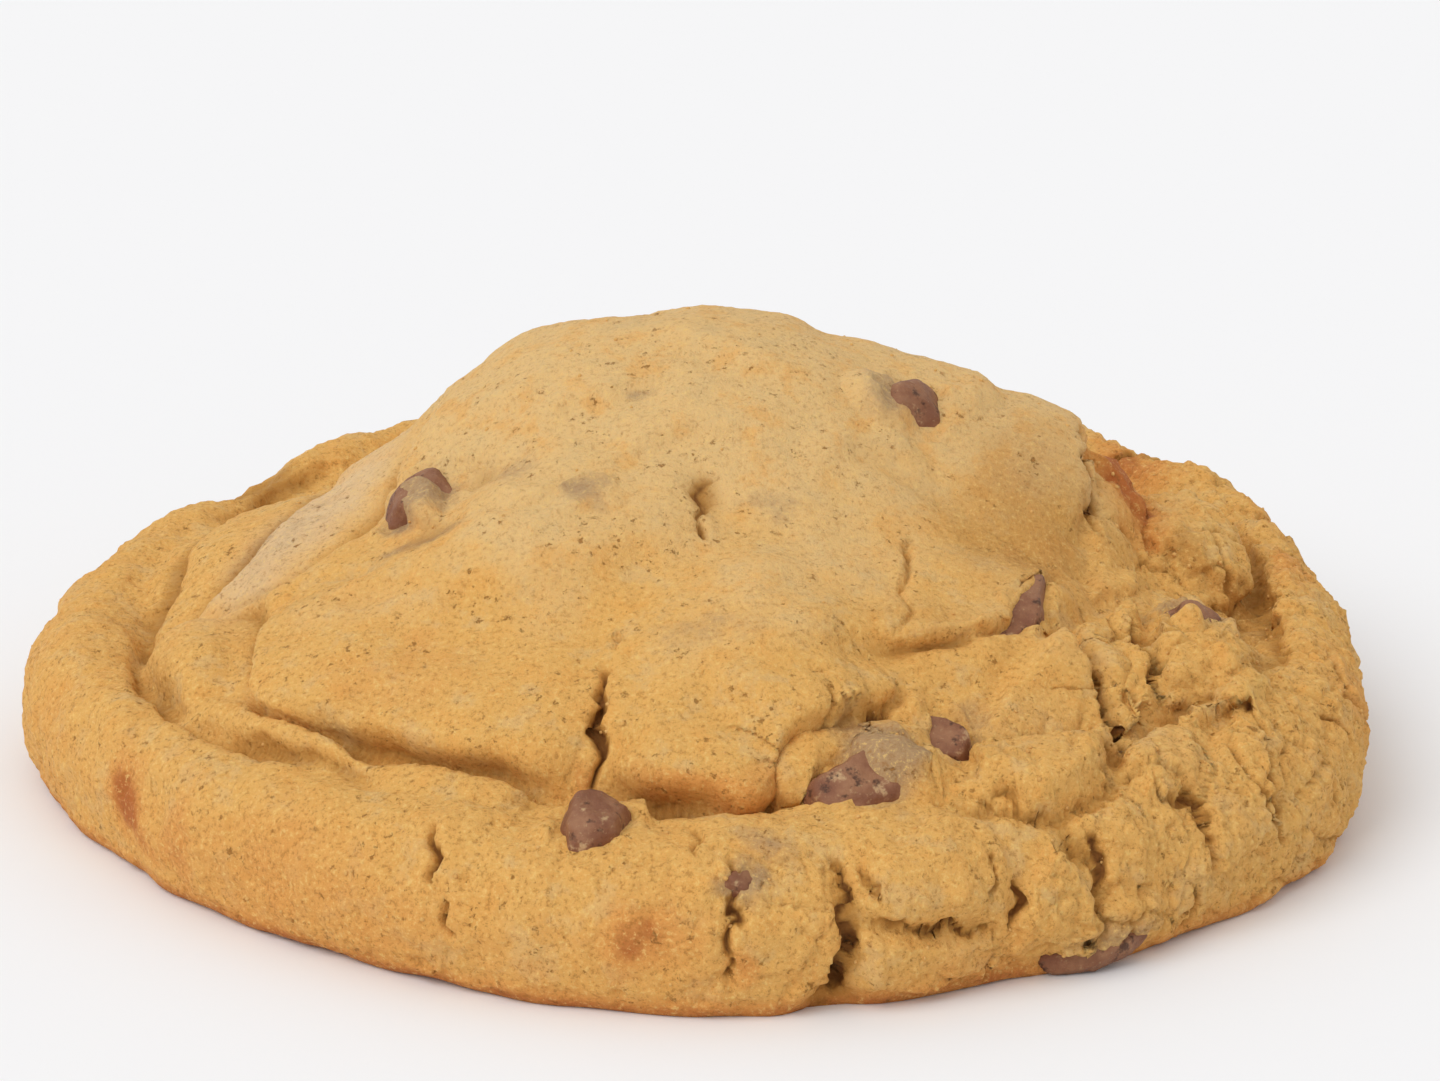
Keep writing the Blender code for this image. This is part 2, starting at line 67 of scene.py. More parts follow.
# The dough's form. One column every 30 degrees from the right-hand side, turning towards the back.
doughForm = {
    "outerRadius": [51.9, 52.0, 51.5, 51.0, 50.8, 51.0, 52.8, 49.4, 49.4, 52.2, 51.4, 53.2],
    "crestHeight": [13.8, 16.0, 17.2, 16.6, 15.8, 14.0, 12.2, 11.6, 11.4, 11.8, 12.6, 12.8],
    "crestInset": [6.0, 5.5, 5.5, 6.0, 5.5, 5.5, 5.5, 4.8, 6.0, 8.6, 8.6, 7.0],
    "moatHeight": [10.9, 12.8, 13.6, 13.8, 13.2, 11.8, 9.8, 9.4, 9.9, 10.4, 11.2, 11.2],
    "flankRise": [6.5, 9.0, 9.0, 9.0, 8.0, 6.0, 5.5, 9.0, 10.0, 10.0, 8.0, 6.0],
    "flankPower": [0.8, 0.7, 0.7, 0.7, 0.8, 0.9, 0.8, 0.6, 0.5, 0.5, 0.6, 0.8],
    # the crease inside the rim has a column every 15 degrees
    "moatInset": [9.5, 9.8, 10.5, 11.0, 11.5, 12.0, 11.5, 10.5, 9.6, 9.2, 9.6, 10.4,
                  10.2, 9.4, 8.4, 9.2, 10.2, 11.4, 12.2, 12.4, 13.8, 12.0, 11.3, 10.2],
    "wallRun": 17.0,       # length of the map that runs down the rim's wall
    "bellyHeight": 5.5,    # height at which the wall is widest
    "footTuck": 2.2,       # how far the foot is drawn in under the belly
    "lumpSize": 11.0,      # width of the soft lumps
    "lumpHeight": 0.6,
    "smallLumps": 2.3,     # how many times finer the smaller lumps on them are
    "smallShare": 0.6,     # and their height as a share
    "lipRise": 2.0,        # distance from a crease at which its lip hangs out farthest
    "slabEdge": 0.55,      # half width of a slab's sloping edge
    "gridSteps": 560,      # divisions across the map before thinning
    "keptShare": 0.30,     # share of the triangles kept, most of them where the skin bends
}

# Swellings: x, y, half length, half width, turn, top, drop, fullness, blend.
swellings = [
    (-1.0, -1.0, 41.0, 38.0, 0, 26.8, 16.8, 1.8, 3.0),      # the whole dome
    (0.0, 5.0, 30.0, 27.0, 0, 34.6, 22.0, 2.0, 5.0),        # its summit
    (-9.0, 5.0, 16.0, 20.0, 0, 32.8, 18.0, 2.2, 3.0),       # left shoulder
    (14.0, 6.0, 20.0, 18.0, 0, 30.6, 20.0, 2.0, 4.0),       # right shoulder
    (23.5, 3.0, 12.0, 17.0, -12, 27.2, 16.0, 2.3, 4.0),
    (-9.0, -13.0, 17.0, 13.0, 10, 26.2, 12.0, 2.2, 4.5),    # belly of the dome, left and middle
    (-22.0, -18.0, 12.0, 11.0, -30, 19.0, 9.0, 2.2, 3.5),
    (4.0, -22.0, 14.0, 14.0, 0, 21.8, 10.0, 2.2, 4.0),
    (-28.0, 3.0, 14.5, 20.0, 25, 19.0, 8.0, 2.2, 3.0),      # left flank
    (-36.8, -13.0, 4.6, 8.6, 12, 15.2, 5.0, 2.4, 0.8),      # small ear against the rim
    (-29.8, -27.0, 12.5, 3.3, -48, 13.6, 4.0, 2.4, 1.0),    # slim roll between dome and rim
    (-17.6, -36.2, 12.0, 3.2, -27, 12.9, 3.6, 2.4, 1.2),
    (17.5, -24.6, 14.0, 3.8, 14, 19.0, 6.0, 2.2, 2.0),      # roll below the dome, right
    (25.5, -16.0, 8.0, 3.2, 55, 19.6, 6.0, 2.2, 1.6),
    (10.5, -31.0, 9.0, 4.6, 14, 15.8, 5.0, 2.2, 1.8),
    (12.3, -38.2, 5.2, 4.6, 10, 13.9, 4.0, 2.2, 1.2),       # mound over a chip
    (35.0, -13.0, 8.5, 15.0, 14, 15.8, 4.5, 2.8, 2.0),      # shelf of broken crust
    (36.5, 6.0, 7.0, 11.0, -8, 17.6, 5.0, 2.4, 2.0),
]

# Slabs of broken crust standing up from the skin: corners, height.
slabs = [
    ([(19.9, -32.2), (22.0, -27.4), (26.6, -21.6), (28.2, -23.4), (29.4, -26.4), (30.2, -31.6),
      (26.2, -37.4), (23.2, -38.9), (20.2, -38.2)], 1.6),
    ([(28.0, -18.4), (33.0, -11.6), (33.7, -19.3), (34.3, -22.6), (33.8, -24.8), (30.6, -28.0),
      (29.6, -24.8)], 1.7),
    ([(34.4, -11.8), (38.0, -7.4), (40.6, -13.2), (38.6, -20.5), (35.8, -23.2), (34.9, -22.4),
      (34.5, -18.7)], 1.0),
    ([(38.4, -19.9), (40.8, -19.4), (42.0, -21.6), (40.6, -24.6), (38.9, -24.4)], 1.6),
    ([(31.0, -32.4), (35.2, -26.2), (38.2, -24.8), (35.6, -31.0), (34.6, -34.0), (31.4, -35.6)], 1.0),
    ([(39.2, -25.2), (41.6, -26.0), (41.2, -29.3), (43.4, -31.5), (39.0, -37.0), (36.6, -35.4),
      (36.0, -33.4), (36.8, -30.3)], 0.8),
    ([(12.0, -49.8), (14.6, -49.7), (18.2, -49.0), (21.2, -47.8), (22.4, -48.4), (23.2, -50.6),
      (17.9, -53.6), (12.9, -54.0)], 0.6),
    ([(12.8, -45.0), (17.0, -41.4), (20.0, -41.2), (21.0, -43.6), (20.6, -45.6), (17.4, -47.2),
      (13.8, -47.8), (12.2, -47.0)], 0.7),
    ([(24.2, -41.2), (26.6, -42.4), (28.2, -43.8), (25.7, -46.2), (23.2, -46.2), (22.8, -44.0)], 0.8),
    ([(30.0, 4.0), (33.0, 9.0), (38.0, 11.0), (42.0, 7.0), (42.8, 1.0), (39.0, -1.0), (34.0, 2.0)], 1.3),
    ([(29.9, 1.2), (33.2, 3.2), (35.4, -1.4), (32.6, -9.6), (29.8, -12.0), (30.2, -6.0)], 0.9),
]

# Wide creases: points, depth, half width, step up on the left-hand side, reach of the step, overhang.
creases = [
    ([(-32.5, -16.3), (-32.0, -21.0), (-31.1, -24.6), (-27.7, -27.9), (-20.8, -32.5), (-15.6, -35.2),
      (-12.2, -37.3), (-9.6, -38.8)], 1.6, 0.8, 1.4, 4.0, 1.8),
    ([(-6.4, -38.6), (-4.0, -39.4), (0.2, -40.0), (3.6, -40.3), (5.2, -39.4), (5.2, -37.9), (6.6, -36.1),
      (9.5, -34.2), (12.6, -32.4)], 1.5, 0.8, 1.4, 4.0, 1.9),
    ([(-42.6, -5.0), (-42.2, -12.0), (-39.6, -18.4), (-37.6, -22.5), (-33.3, -27.4), (-28.4, -31.2),
      (-23.1, -35.7)], 1.3, 0.7, 0.4, 3.0, 0.6),
    ([(-36.5, -9.6), (-33.6, -11.5), (-32.6, -14.5), (-32.5, -18.0), (-32.2, -20.5)],
     1.0, 0.7, 0.3, 3.0, 0.3),
    ([(-42.6, -6.0), (-42.0, 2.0), (-40.5, 9.0), (-38.5, 15.0), (-36.6, 20.5), (-34.5, 26.0),
      (-31.0, 30.5)], 1.4, 1.0, 0.0, 3.0, 0.0),
    ([(-39.5, -6.0), (-36.0, -3.0), (-33.0, 1.5), (-30.0, 8.0), (-27.5, 14.0)], 1.0, 1.0, -0.7, 3.0, -0.8),
    ([(-36.7, -8.0), (-31.5, -9.8), (-28.0, -8.6), (-24.8, -6.0), (-22.8, -1.0), (-20.0, 5.0)],
     0.8, 1.0, -0.6, 3.0, -0.8),
    ([(-32.4, -14.4), (-29.5, -13.2), (-26.5, -13.6), (-23.8, -15.4)], 0.5, 0.8, 0.3, 3.0, 0.2),
    ([(2.5, -30.8), (7.0, -30.0), (10.5, -28.2), (14.6, -26.2), (19.0, -24.8)], 0.6, 1.6, 0.6, 5.0, 0.3),
    ([(13.5, -26.6), (17.8, -25.2), (21.2, -23.5), (23.6, -19.6), (25.6, -15.6), (27.2, -11.5)],
     1.2, 0.8, 1.4, 5.0, 1.4),
    ([(11.9, -34.2), (12.9, -33.0), (14.3, -30.8), (15.2, -29.4)], 1.0, 0.7, 0.5, 3.0, 0.6),
    ([(30.2, -33.4), (31.6, -30.2), (33.4, -27.3), (35.9, -24.6), (38.7, -22.9), (41.7, -18.8),
      (43.4, -13.0)], 1.2, 0.8, 0.4, 3.0, 0.5),
    ([(43.6, -14.0), (44.1, -8.0), (44.0, 0.0), (43.4, 8.0), (40.5, 17.0)], 1.1, 1.0, 0.0, 3.0, 0.0),
    ([(17.3, -40.0), (19.9, -39.9), (22.8, -39.8), (25.4, -38.8), (28.0, -36.6), (30.2, -33.4)],
     1.1, 0.7, 0.5, 3.0, 0.4),
    ([(25.0, -39.8), (26.7, -41.2), (28.4, -41.8), (29.4, -44.4), (28.8, -46.5)], 0.9, 0.7, 0.0, 3.0, 0.0),
    ([(9.2, -46.0), (10.5, -48.6), (11.0, -52.0), (10.6, -56.0), (10.6, -60.0)], 1.2, 0.8, 0.0, 3.0, 0.0),
    ([(11.4, -49.0), (14.4, -48.9), (17.8, -48.3), (20.6, -46.9)], 0.9, 0.7, 0.4, 3.0, 0.5),
    ([(29.4, -6.5), (30.6, -1.0), (30.2, 4.0), (29.6, 10.0)], 0.9, 0.8, 0.9, 4.0, 0.8),
    ([(15.0, 38.0), (22.0, 34.0), (29.0, 27.0)], 1.0, 1.2, 0.8, 4.0, 0.8),
    ([(-20.0, 33.0), (-12.0, 37.0), (-3.0, 38.5)], 1.0, 1.2, -0.8, 4.0, -0.8),
]

# Dents: x, y, half length, half width, turn, depth.
dents = [
    (-20.3, -14.0, 3.4, 2.0, -10, 0.8),
    (-16.0, -8.6, 1.8, 1.4, 0, 0.7),
    (0.9, -13.9, 1.2, 1.8, 30, 1.0),
    (-12.0, -39.8, 1.6, 1.0, 0, 0.8),
    (32.1, -34.9, 1.6, 0.9, 30, 0.5),
    (35.3, -34.2, 1.8, 0.9, -20, 0.5),
    (27.6, -40.4, 1.8, 1.0, -20, 0.5),
    (22.2, -45.6, 0.7, 1.6, 0, 0.5),
    (10.5, -56.5, 2.4, 2.2, 0, 1.3),
    (-37.4, 28.2, 4.2, 2.4, 50, 2.2),
    (-24.0, 44.0, 3.0, 2.4, 30, 0.9),
    (38.0, 29.5, 3.2, 2.2, 40, 1.0),
    (6.0, 24.0, 2.4, 1.6, 20, 0.7),
]

# Fine cracks: points, depth, half width at the widest place, and where along it that place is (0 to 1).
cracks = [
    ([(-6.7, -29.4), (-6.4, -30.8), (-6.9, -32.2), (-6.5, -33.6), (-7.2, -35.0), (-6.6, -36.8),
      (-7.4, -39.2)], 1.7, 0.60, 0.7),
    ([(-6.1, -26.4), (-5.6, -27.6), (-5.8, -28.8)], 0.6, 0.30, 0.5),
    ([(-17.8, -42.0), (-18.4, -43.2), (-18.0, -44.4), (-18.8, -45.9)], 1.4, 0.50, 0.6),
    ([(-17.3, -47.2), (-18.0, -48.4), (-17.8, -49.8)], 1.0, 0.40, 0.5),
    ([(-0.7, -43.6), (0.2, -44.8), (-0.1, -46.0), (0.3, -46.9)], 0.7, 0.30, 0.5),
    ([(2.0, -46.9), (2.7, -48.2), (2.4, -49.4), (3.2, -50.0), (2.4, -51.0), (2.6, -52.6),
      (2.3, -54.6)], 1.2, 0.40, 0.3),
    ([(9.0, -45.4), (10.4, -47.6), (10.1, -49.0), (11.1, -50.6), (10.5, -52.4), (11.0, -55.0),
      (10.4, -58.0)], 2.0, 0.70, 0.8),
    ([(10.9, -46.2), (11.6, -47.0), (12.7, -47.9)], 0.9, 0.35, 0.5),
    ([(11.4, -49.5), (12.6, -48.9), (14.4, -48.8), (15.7, -48.9), (17.8, -48.1), (19.1, -48.2),
      (21.5, -46.8)], 1.1, 0.42, 0.6),
    ([(16.5, -40.9), (17.4, -39.8), (19.9, -39.9), (21.2, -38.9), (22.8, -39.7), (24.4, -39.4),
      (26.6, -40.6)], 0.75, 0.34, 0.6),
    ([(26.6, -39.4), (27.9, -40.6), (28.8, -41.6), (28.4, -43.4), (29.4, -45.2)], 1.3, 0.52, 0.3),
    ([(22.0, -44.2), (22.5, -45.4), (22.2, -47.0)], 1.5, 0.42, 0.6),
    ([(19.6, -43.2), (20.4, -44.6), (20.0, -46.0)], 1.2, 0.40, 0.5),
    ([(30.2, -33.6), (31.0, -31.4), (30.4, -29.2), (29.4, -26.4), (28.6, -23.6), (27.0, -21.4)],
     1.3, 0.45, 0.5),
    ([(32.9, -15.4), (33.2, -18.4), (34.0, -20.4), (33.7, -22.2), (34.5, -24.2)], 1.5, 0.45, 0.5),
    ([(31.6, -34.2), (32.6, -35.2), (34.2, -34.8), (35.5, -34.0), (36.2, -35.8), (37.4, -36.6),
      (38.6, -37.8)], 0.95, 0.38, 0.4),
    ([(38.6, -24.9), (40.0, -24.6), (41.9, -25.2)], 0.9, 0.35, 0.5),
    ([(41.9, -25.2), (41.2, -27.2), (41.7, -29.3), (43.4, -30.6), (44.1, -32.2)], 1.2, 0.40, 0.4),
    ([(45.6, -20.6), (47.4, -19.2), (49.6, -18.4)], 0.9, 0.35, 0.5),
    ([(46.8, -23.4), (48.0, -24.8), (49.6, -24.6)], 0.9, 0.35, 0.5),
    ([(39.8, -30.3), (41.0, -30.9), (41.8, -31.8), (45.5, -31.4)], 0.9, 0.35, 0.5),
    ([(37.0, -39.0), (38.6, -40.2), (39.0, -42.0)], 1.0, 0.35, 0.5),
    ([(43.8, -9.0), (45.4, -10.6), (47.2, -10.0), (48.6, -11.2)], 0.8, 0.35, 0.5),
    ([(44.2, 1.0), (46.0, 0.2), (47.8, 1.2)], 0.8, 0.35, 0.5),
    ([(15.9, -13.2), (15.4, -15.6), (15.6, -17.6), (14.9, -20.3), (15.2, -22.2), (14.3, -25.4)],
     0.7, 0.35, 0.2),
    ([(8.6, -31.8), (9.1, -33.0), (8.8, -34.4)], 0.9, 0.35, 0.5),
    ([(12.3, -34.2), (12.9, -33.2), (13.6, -32.4), (14.2, -31.0)], 1.4, 0.50, 0.4),
    ([(1.9, -12.8), (0.7, -13.0), (0.1, -14.0), (0.8, -15.0), (0.2, -16.2), (0.7, -17.0)],
     1.1, 0.50, 0.3),
    ([(0.6, -16.6), (0.3, -17.4), (0.8, -18.2)], 0.9, 0.35, 0.5),
    ([(-33.4, -11.5), (-33.0, -13.4), (-32.5, -15.0), (-32.7, -17.4), (-32.1, -19.6)], 1.0, 0.35, 0.6),
    ([(29.4, 5.0), (28.9, 3.0), (29.8, 1.4), (29.2, -0.2), (30.7, -2.1), (30.0, -3.4), (30.8, -5.2)],
     1.3, 0.45, 0.5),
    ([(-26.0, 40.2), (-24.0, 42.0), (-23.2, 45.0), (-21.0, 47.5)], 1.4, 0.45, 0.5),
    ([(12.0, 41.5), (13.2, 45.0), (12.4, 48.0), (14.0, 52.0)], 1.4, 0.45, 0.4),
    ([(33.0, 27.0), (36.0, 29.5), (39.5, 30.0), (42.0, 33.0)], 1.4, 0.45, 0.4),
]

# Chips: name, map x, map y, half length, half width, half height, turn, lift of the centre.
chips = [
    ("chip_left", -20.3, -7.6, 3.8, 3.2, 3.6, 38, -1.4),
    ("chip_front", -7.0, -43.2, 3.2, 3.7, 3.4, -25, -0.9),
    ("chip_middle", 12.1, -38.2, 4.7, 4.0, 3.2, 15, -1.9),
    ("chip_dark", 18.0, -32.6, 2.6, 3.1, 3.0, 60, -1.1),
    ("chip_fold", 23.6, -19.2, 5.4, 2.4, 2.8, 66, -1.2),
    ("chip_top", 16.4, -1.2, 4.2, 3.2, 3.0, 60, -1.6),
    ("chip_right", 36.9, -14.2, 2.8, 2.0, 2.4, 10, -1.1),
    ("chip_foot", 31.6, -46.2, 4.8, 2.0, 2.4, 35, -0.9),
    ("chip_small", 2.9, -48.0, 1.8, 1.2, 1.5, 0, -0.9),
    ("chip_dome", -8.0, -15.1, 2.0, 1.7, 2.0, 10, -1.3),
    ("chip_back_left", -22.0, 29.0, 4.0, 3.4, 3.2, -30, -1.3),
    ("chip_back", 5.0, 35.5, 3.6, 3.0, 3.0, 15, -1.2),
    ("chip_back_right", 27.5, 20.5, 4.4, 3.6, 3.2, 40, -1.5),
    ("chip_back_rim", -6.0, 51.0, 3.2, 2.6, 2.6, 5, -1.0),
]

# Low wrinkles: points, height, half width; the ridge lies on the left-hand side, its valley on the right.
wrinkles = [
    ([(-7.3, -12.8), (-5.1, -11.0), (-2.8, -9.8), (0.2, -9.2), (4.7, -8.7)], 0.38, 1.0),
    ([(-14.1, -6.1), (-10.4, -5.5), (-5.8, -4.8), (-0.2, -2.0)], 0.34, 1.1),
    ([(-15.6, -12.8), (-13.7, -14.8), (-11.4, -15.1), (-10.0, -13.8)], 0.40, 0.9),
    ([(-18.0, -1.4), (-13.5, -3.3), (-10.6, -1.4)], 0.35, 1.1),
    ([(-8.6, -21.6), (-4.3, -19.7), (0.2, -19.3), (4.0, -20.4)], 0.25, 1.2),
    ([(-4.5, 2.9), (0.2, -0.2), (4.8, -2.5), (9.0, -3.0)], 0.38, 1.4),
    ([(8.6, -11.6), (12.3, -7.4), (15.3, -6.9), (20.0, -8.4)], 0.40, 1.2),
    ([(-19.7, -21.6), (-14.5, -21.8), (-10.1, -23.6)], 0.25, 1.2),
    ([(-26.9, -17.6), (-23.4, -18.3), (-20.6, -17.1)], 0.30, 1.0),
    ([(-12.5, -19.6), (-9.2, -17.4), (-5.0, -16.2)], 0.30, 0.9),
    ([(19.8, -1.0), (22.6, 3.6), (22.0, 9.0)], 0.50, 1.4),
    ([(4.6, -22.6), (9.4, -21.0), (14.0, -21.8)], 0.30, 1.4),
    ([(-2.5, -34.4), (1.8, -33.4), (5.4, -34.2)], 0.30, 1.1),
    ([(-24.5, -26.2), (-19.8, -28.4), (-15.4, -29.2)], 0.30, 1.2),
    ([(-46.0, -16.0), (-44.0, -24.0), (-39.0, -31.5)], 0.30, 1.5),
    ([(-30.0, -37.0), (-22.0, -42.0), (-13.0, -45.0)], 0.30, 1.4),
    ([(-20.0, 18.0), (-10.0, 22.5), (2.0, 21.0)], 0.45, 1.6),
    ([(10.0, 20.0), (17.0, 17.0), (21.5, 10.5)], 0.45, 1.6),
]

# Films of dough lying over a chip: x, y, half length, half width, turn, height.
films = [
    (-20.2, -9.2, 1.2, 3.4, 8, 1.6),
    (14.5, -36.4, 3.9, 3.4, 20, 2.1),
    (14.0, -1.8, 2.5, 2.6, 30, 1.2),
    (7.9, -37.1, 3.5, 1.9, 42, 1.0),
    (36.9, -14.6, 0.9, 2.4, 0, 0.7),
    (-4.6, -41.6, 1.5, 0.9, -50, 1.1),
    (2.3, -47.4, 1.2, 0.7, 20, 0.7),
    (16.0, -31.6, 0.8, 1.2, 20, 0.8),
    (24.9, -20.4, 1.6, 1.0, 60, 0.5),
    (31.0, -44.0, 5.2, 1.7, 35, 1.1),
    (-22.6, 30.6, 2.4, 2.0, 10, 1.2),
    (28.6, 22.6, 2.6, 2.2, 10, 1.2),
]

# Browned patches, two of them painted shade (under the fold's lip and on the dome's right slope):
# x, y, half length, half width, turn, strength.
toastAndShadeSpots = [
    (-45.2, -27.0, 3.4, 2.6, 70, 1.3),
    (-45.0, -30.2, 1.6, 3.4, 20, 0.8),
    (-40.6, -34.0, 3.0, 1.8, 50, 0.7),
    (-3.8, -51.2, 3.2, 2.4, 10, 1.0),
    (3.8, -53.2, 1.4, 1.0, 0, 0.8),
    (33.4, 4.4, 3.6, 4.0, -10, 2.1),
    (35.2, 26.8, 3.0, 5.0, 20, 1.3),
    (46.9, 5.6, 1.6, 3.6, 0, 0.8),
    (-21.0, -27.0, 7.0, 4.0, -30, 0.45),
    (-10.0, -33.0, 5.0, 3.0, -10, 0.35),
    # painted shade on the underside of the fold's overhanging lip
    (0.4, -39.0, 5.6, 1.2, 0, 0.95),
    (-7.6, -38.4, 1.0, 1.4, 0, 1.0),
    (-30.0, -42.0, 10.0, 5.0, -35, 0.35),
    (22.0, -50.0, 6.0, 3.0, 20, 0.3),
    (14.0, -20.0, 6.0, 4.0, 0, 0.25),
    # painted shade on the dome's right slope, which faces away from the key light
    (25.0, -7.0, 4.0, 9.0, 0, 0.45),
    (-46.0, 30.0, 7.0, 5.0, 40, 0.6),
    (10.0, 56.0, 9.0, 4.0, 0, 0.7),
    (48.0, 20.0, 4.0, 7.0, 0, 0.5),
    (50.0, -12.0, 3.0, 6.0, 10, 0.35),
]

# Painted shade in creases, hollows and on the dome's right slope: x, y, half length, half width, turn,
# strength.
paintedShadeSpots = [
    (24.8, -8.0, 6.2, 11.5, -12, 0.75),
    (16.0, -22.5, 5.0, 2.2, 20, 0.4),
    (43.2, 0.5, 1.6, 9.0, -4, 0.8),
    (41.8, -15.0, 1.4, 5.0, -12, 0.7),
    (37.4, 0.0, 1.4, 1.8, 0, 0.9),
    (20.6, -35.8, 2.0, 2.6, 0, 0.4),
    (-24.0, -29.6, 8.0, 1.2, -36, 0.5),
    (-33.2, -14.5, 1.2, 4.5, 0, 0.5),
    (0.6, -14.4, 0.9, 1.9, 20, 1.0),
    (-40.8, -16.0, 1.2, 4.0, -15, 0.5),
    (8.0, 30.0, 10.0, 5.0, 0, 0.5),
    (-36.0, 24.0, 3.0, 5.0, 30, 0.5),
]

# Paler, floury places: x, y, half length, half width, turn, strength.
chalkySpots = [
    (-30.5, 0.0, 5.0, 12.0, -28, 1.0),
    (-24.0, -20.0, 7.0, 3.0, -20, 0.25),
    (33.0, -30.0, 5.0, 4.0, 30, 0.2),
    (24.5, -31.0, 3.5, 5.0, -10, 0.2),
    (-18.0, 22.0, 9.0, 6.0, 20, 0.5),
]

# Grey-brown chocolate smears in the dough: x, y, half length, half width, turn, strength.
smearSpots = [
    (-20.8, -8.6, 2.7, 3.8, 24, 1.1),
    (-20.6, -14.2, 3.4, 1.6, -10, 0.8),
    (-33.6, 1.0, 1.6, 7.0, -28, 0.75),
    (-31.0, -2.0, 5.0, 10.0, -28, 0.42),
    (-13.9, -10.0, 1.8, 3.0, 20, 0.55),
    (-8.0, -15.0, 2.2, 2.0, 0, 0.8),
    (-4.7, -4.6, 1.6, 1.2, 0, 0.7),
    (0.6, -28.0, 5.6, 2.6, 0, 0.45),
    (5.5, -14.6, 2.6, 1.4, 0, 0.6),
    (13.2, -37.4, 4.2, 3.6, 20, 1.1),
    (4.5, -45.6, 3.4, 2.0, 0, 0.6),
    (2.8, -48.0, 2.0, 1.2, 0, 0.8),
    (15.2, -1.6, 3.8, 3.0, 40, 0.8),
    (37.0, -13.6, 3.4, 2.2, 0, 0.85),
    (31.5, -43.8, 5.6, 1.8, 35, 0.6),
    (20.5, -30.6, 2.4, 2.0, 0, 0.6),
    (16.4, -9.6, 2.4, 4.0, 0, 0.3),
    (5.0, 36.0, 5.0, 4.0, 0, 0.6),
    (-22.0, 29.0, 5.0, 4.5, 0, 0.7),
    (27.5, 20.5, 5.5, 4.5, 0, 0.7),
]


def around(values, angle):
    # smooth closed curve through the columns of a station list
    v = np.asarray(values, float)
    n = len(v)
    t = (np.degrees(angle) % 360.0) / 360.0 * n
    i = np.floor(t).astype(int)
    f = t - i
    p0, p1, p2, p3 = (v[(i + k) % n] for k in (-1, 0, 1, 2))
    return p1 + 0.5 * f * (p2 - p0 + f * (2 * p0 - 5 * p1 + 4 * p2 - p3 + f * (3 * (p1 - p2) + p3 - p0)))


def merged(a, b, width):
    # the higher of two surfaces, with a fillet of the given width where they meet
    h = np.clip(0.5 + 0.5 * (a - b) / width, 0.0, 1.0)
    return b * (1.0 - h) + a * h + width * h * (1.0 - h)


def ovalReach(x, y, cx, cy, a, b, turn):
    # 0 at the oval's centre and 1 on its edge
    c, s = math.cos(math.radians(turn)), math.sin(math.radians(turn))
    u = ((x - cx) * c + (y - cy) * s) / a
    v = ((y - cy) * c - (x - cx) * s) / b
    return np.hypot(u, v)


def smoothStep(low, high, x):
    t = np.clip((x - low) / (high - low), 0.0, 1.0)
    return t * t * (3 - 2 * t)


def topHeight(x, y):
    form = doughForm
    angle = np.arctan2(y, x)
    r = np.hypot(x, y)
    outer = around(form["outerRadius"], angle)
    crestR = outer - around(form["crestInset"], angle)
    moatR = outer - around(form["moatInset"], angle)
    crest = around(form["crestHeight"], angle)
    moat = around(form["moatHeight"], angle)
    t = np.clip((r - moatR) / (crestR - moatR), 0.0, 1.0)
    rim = moat + (crest - moat) * np.sin(t * math.pi / 2) ** 0.9
    q = np.clip(r / moatR, 0.0, 1.0)
    rise = around(form["flankRise"], angle)
    flank = moat + rise * (1.0 - q ** 3) ** around(form["flankPower"], angle)
    z = np.where(r < moatR, flank, rim)
    for cx, cy, a, b, turn, top, drop, fullness, blend in swellings:
        t = ovalReach(x, y, cx, cy, a, b, turn)
        cap = np.where(t < 1.0, np.maximum(1.0 - t ** fullness, 0.0) ** 0.75, 2.0 * (1.0 - t))
        z = merged(z, top - drop + drop * cap, blend)
    return z


def skinPoint(mapX, mapY):
    form = doughForm
    angle = np.arctan2(mapY, mapX)
    reach = np.hypot(mapX, mapY)
    outer = around(form["outerRadius"], angle)
    inset = around(form["crestInset"], angle)
    crest = around(form["crestHeight"], angle)
    belly, tuck = form["bellyHeight"], form["footTuck"]
    crestR = outer - inset
    turn = np.clip((reach - crestR) / form["wallRun"], 0.0, 1.0) * math.pi
    upper = turn < math.pi / 2
    wallR = np.where(upper, crestR + inset * np.sin(turn) ** 0.9, outer - tuck * (1.0 - np.sin(turn) ** 0.8))
    wallZ = np.where(upper, belly + (crest - belly) * np.maximum(np.cos(turn), 0.0) ** 0.95,
                     belly * (1.0 - np.maximum(-np.cos(turn), 0.0)))
    onTop = reach <= crestR
    x = np.where(onTop, mapX, wallR * np.cos(angle))
    y = np.where(onTop, mapY, wallR * np.sin(angle))
    z = np.where(onTop, topHeight(mapX, mapY), wallZ)
    return np.stack([x, y, z], -1)


def smoothLine(points, step=0.5):
    p = np.asarray(points, float)
    q = np.vstack([2 * p[0] - p[1], p, 2 * p[-1] - p[-2]])
    out = []
    for i in range(1, len(q) - 2):
        n = max(2, int(np.hypot(*(q[i + 1] - q[i])) / step))
        t = np.linspace(0.0, 1.0, n, endpoint=False)[:, None]
        p0, p1, p2, p3 = q[i - 1], q[i], q[i + 1], q[i + 2]
        out.append(p1 + 0.5 * t * (p2 - p0 + t * (2 * p0 - 5 * p1 + 4 * p2 - p3
                                                  + t * (3 * (p1 - p2) + p3 - p0))))
    out.append(q[-2][None])
    return np.vstack(out)


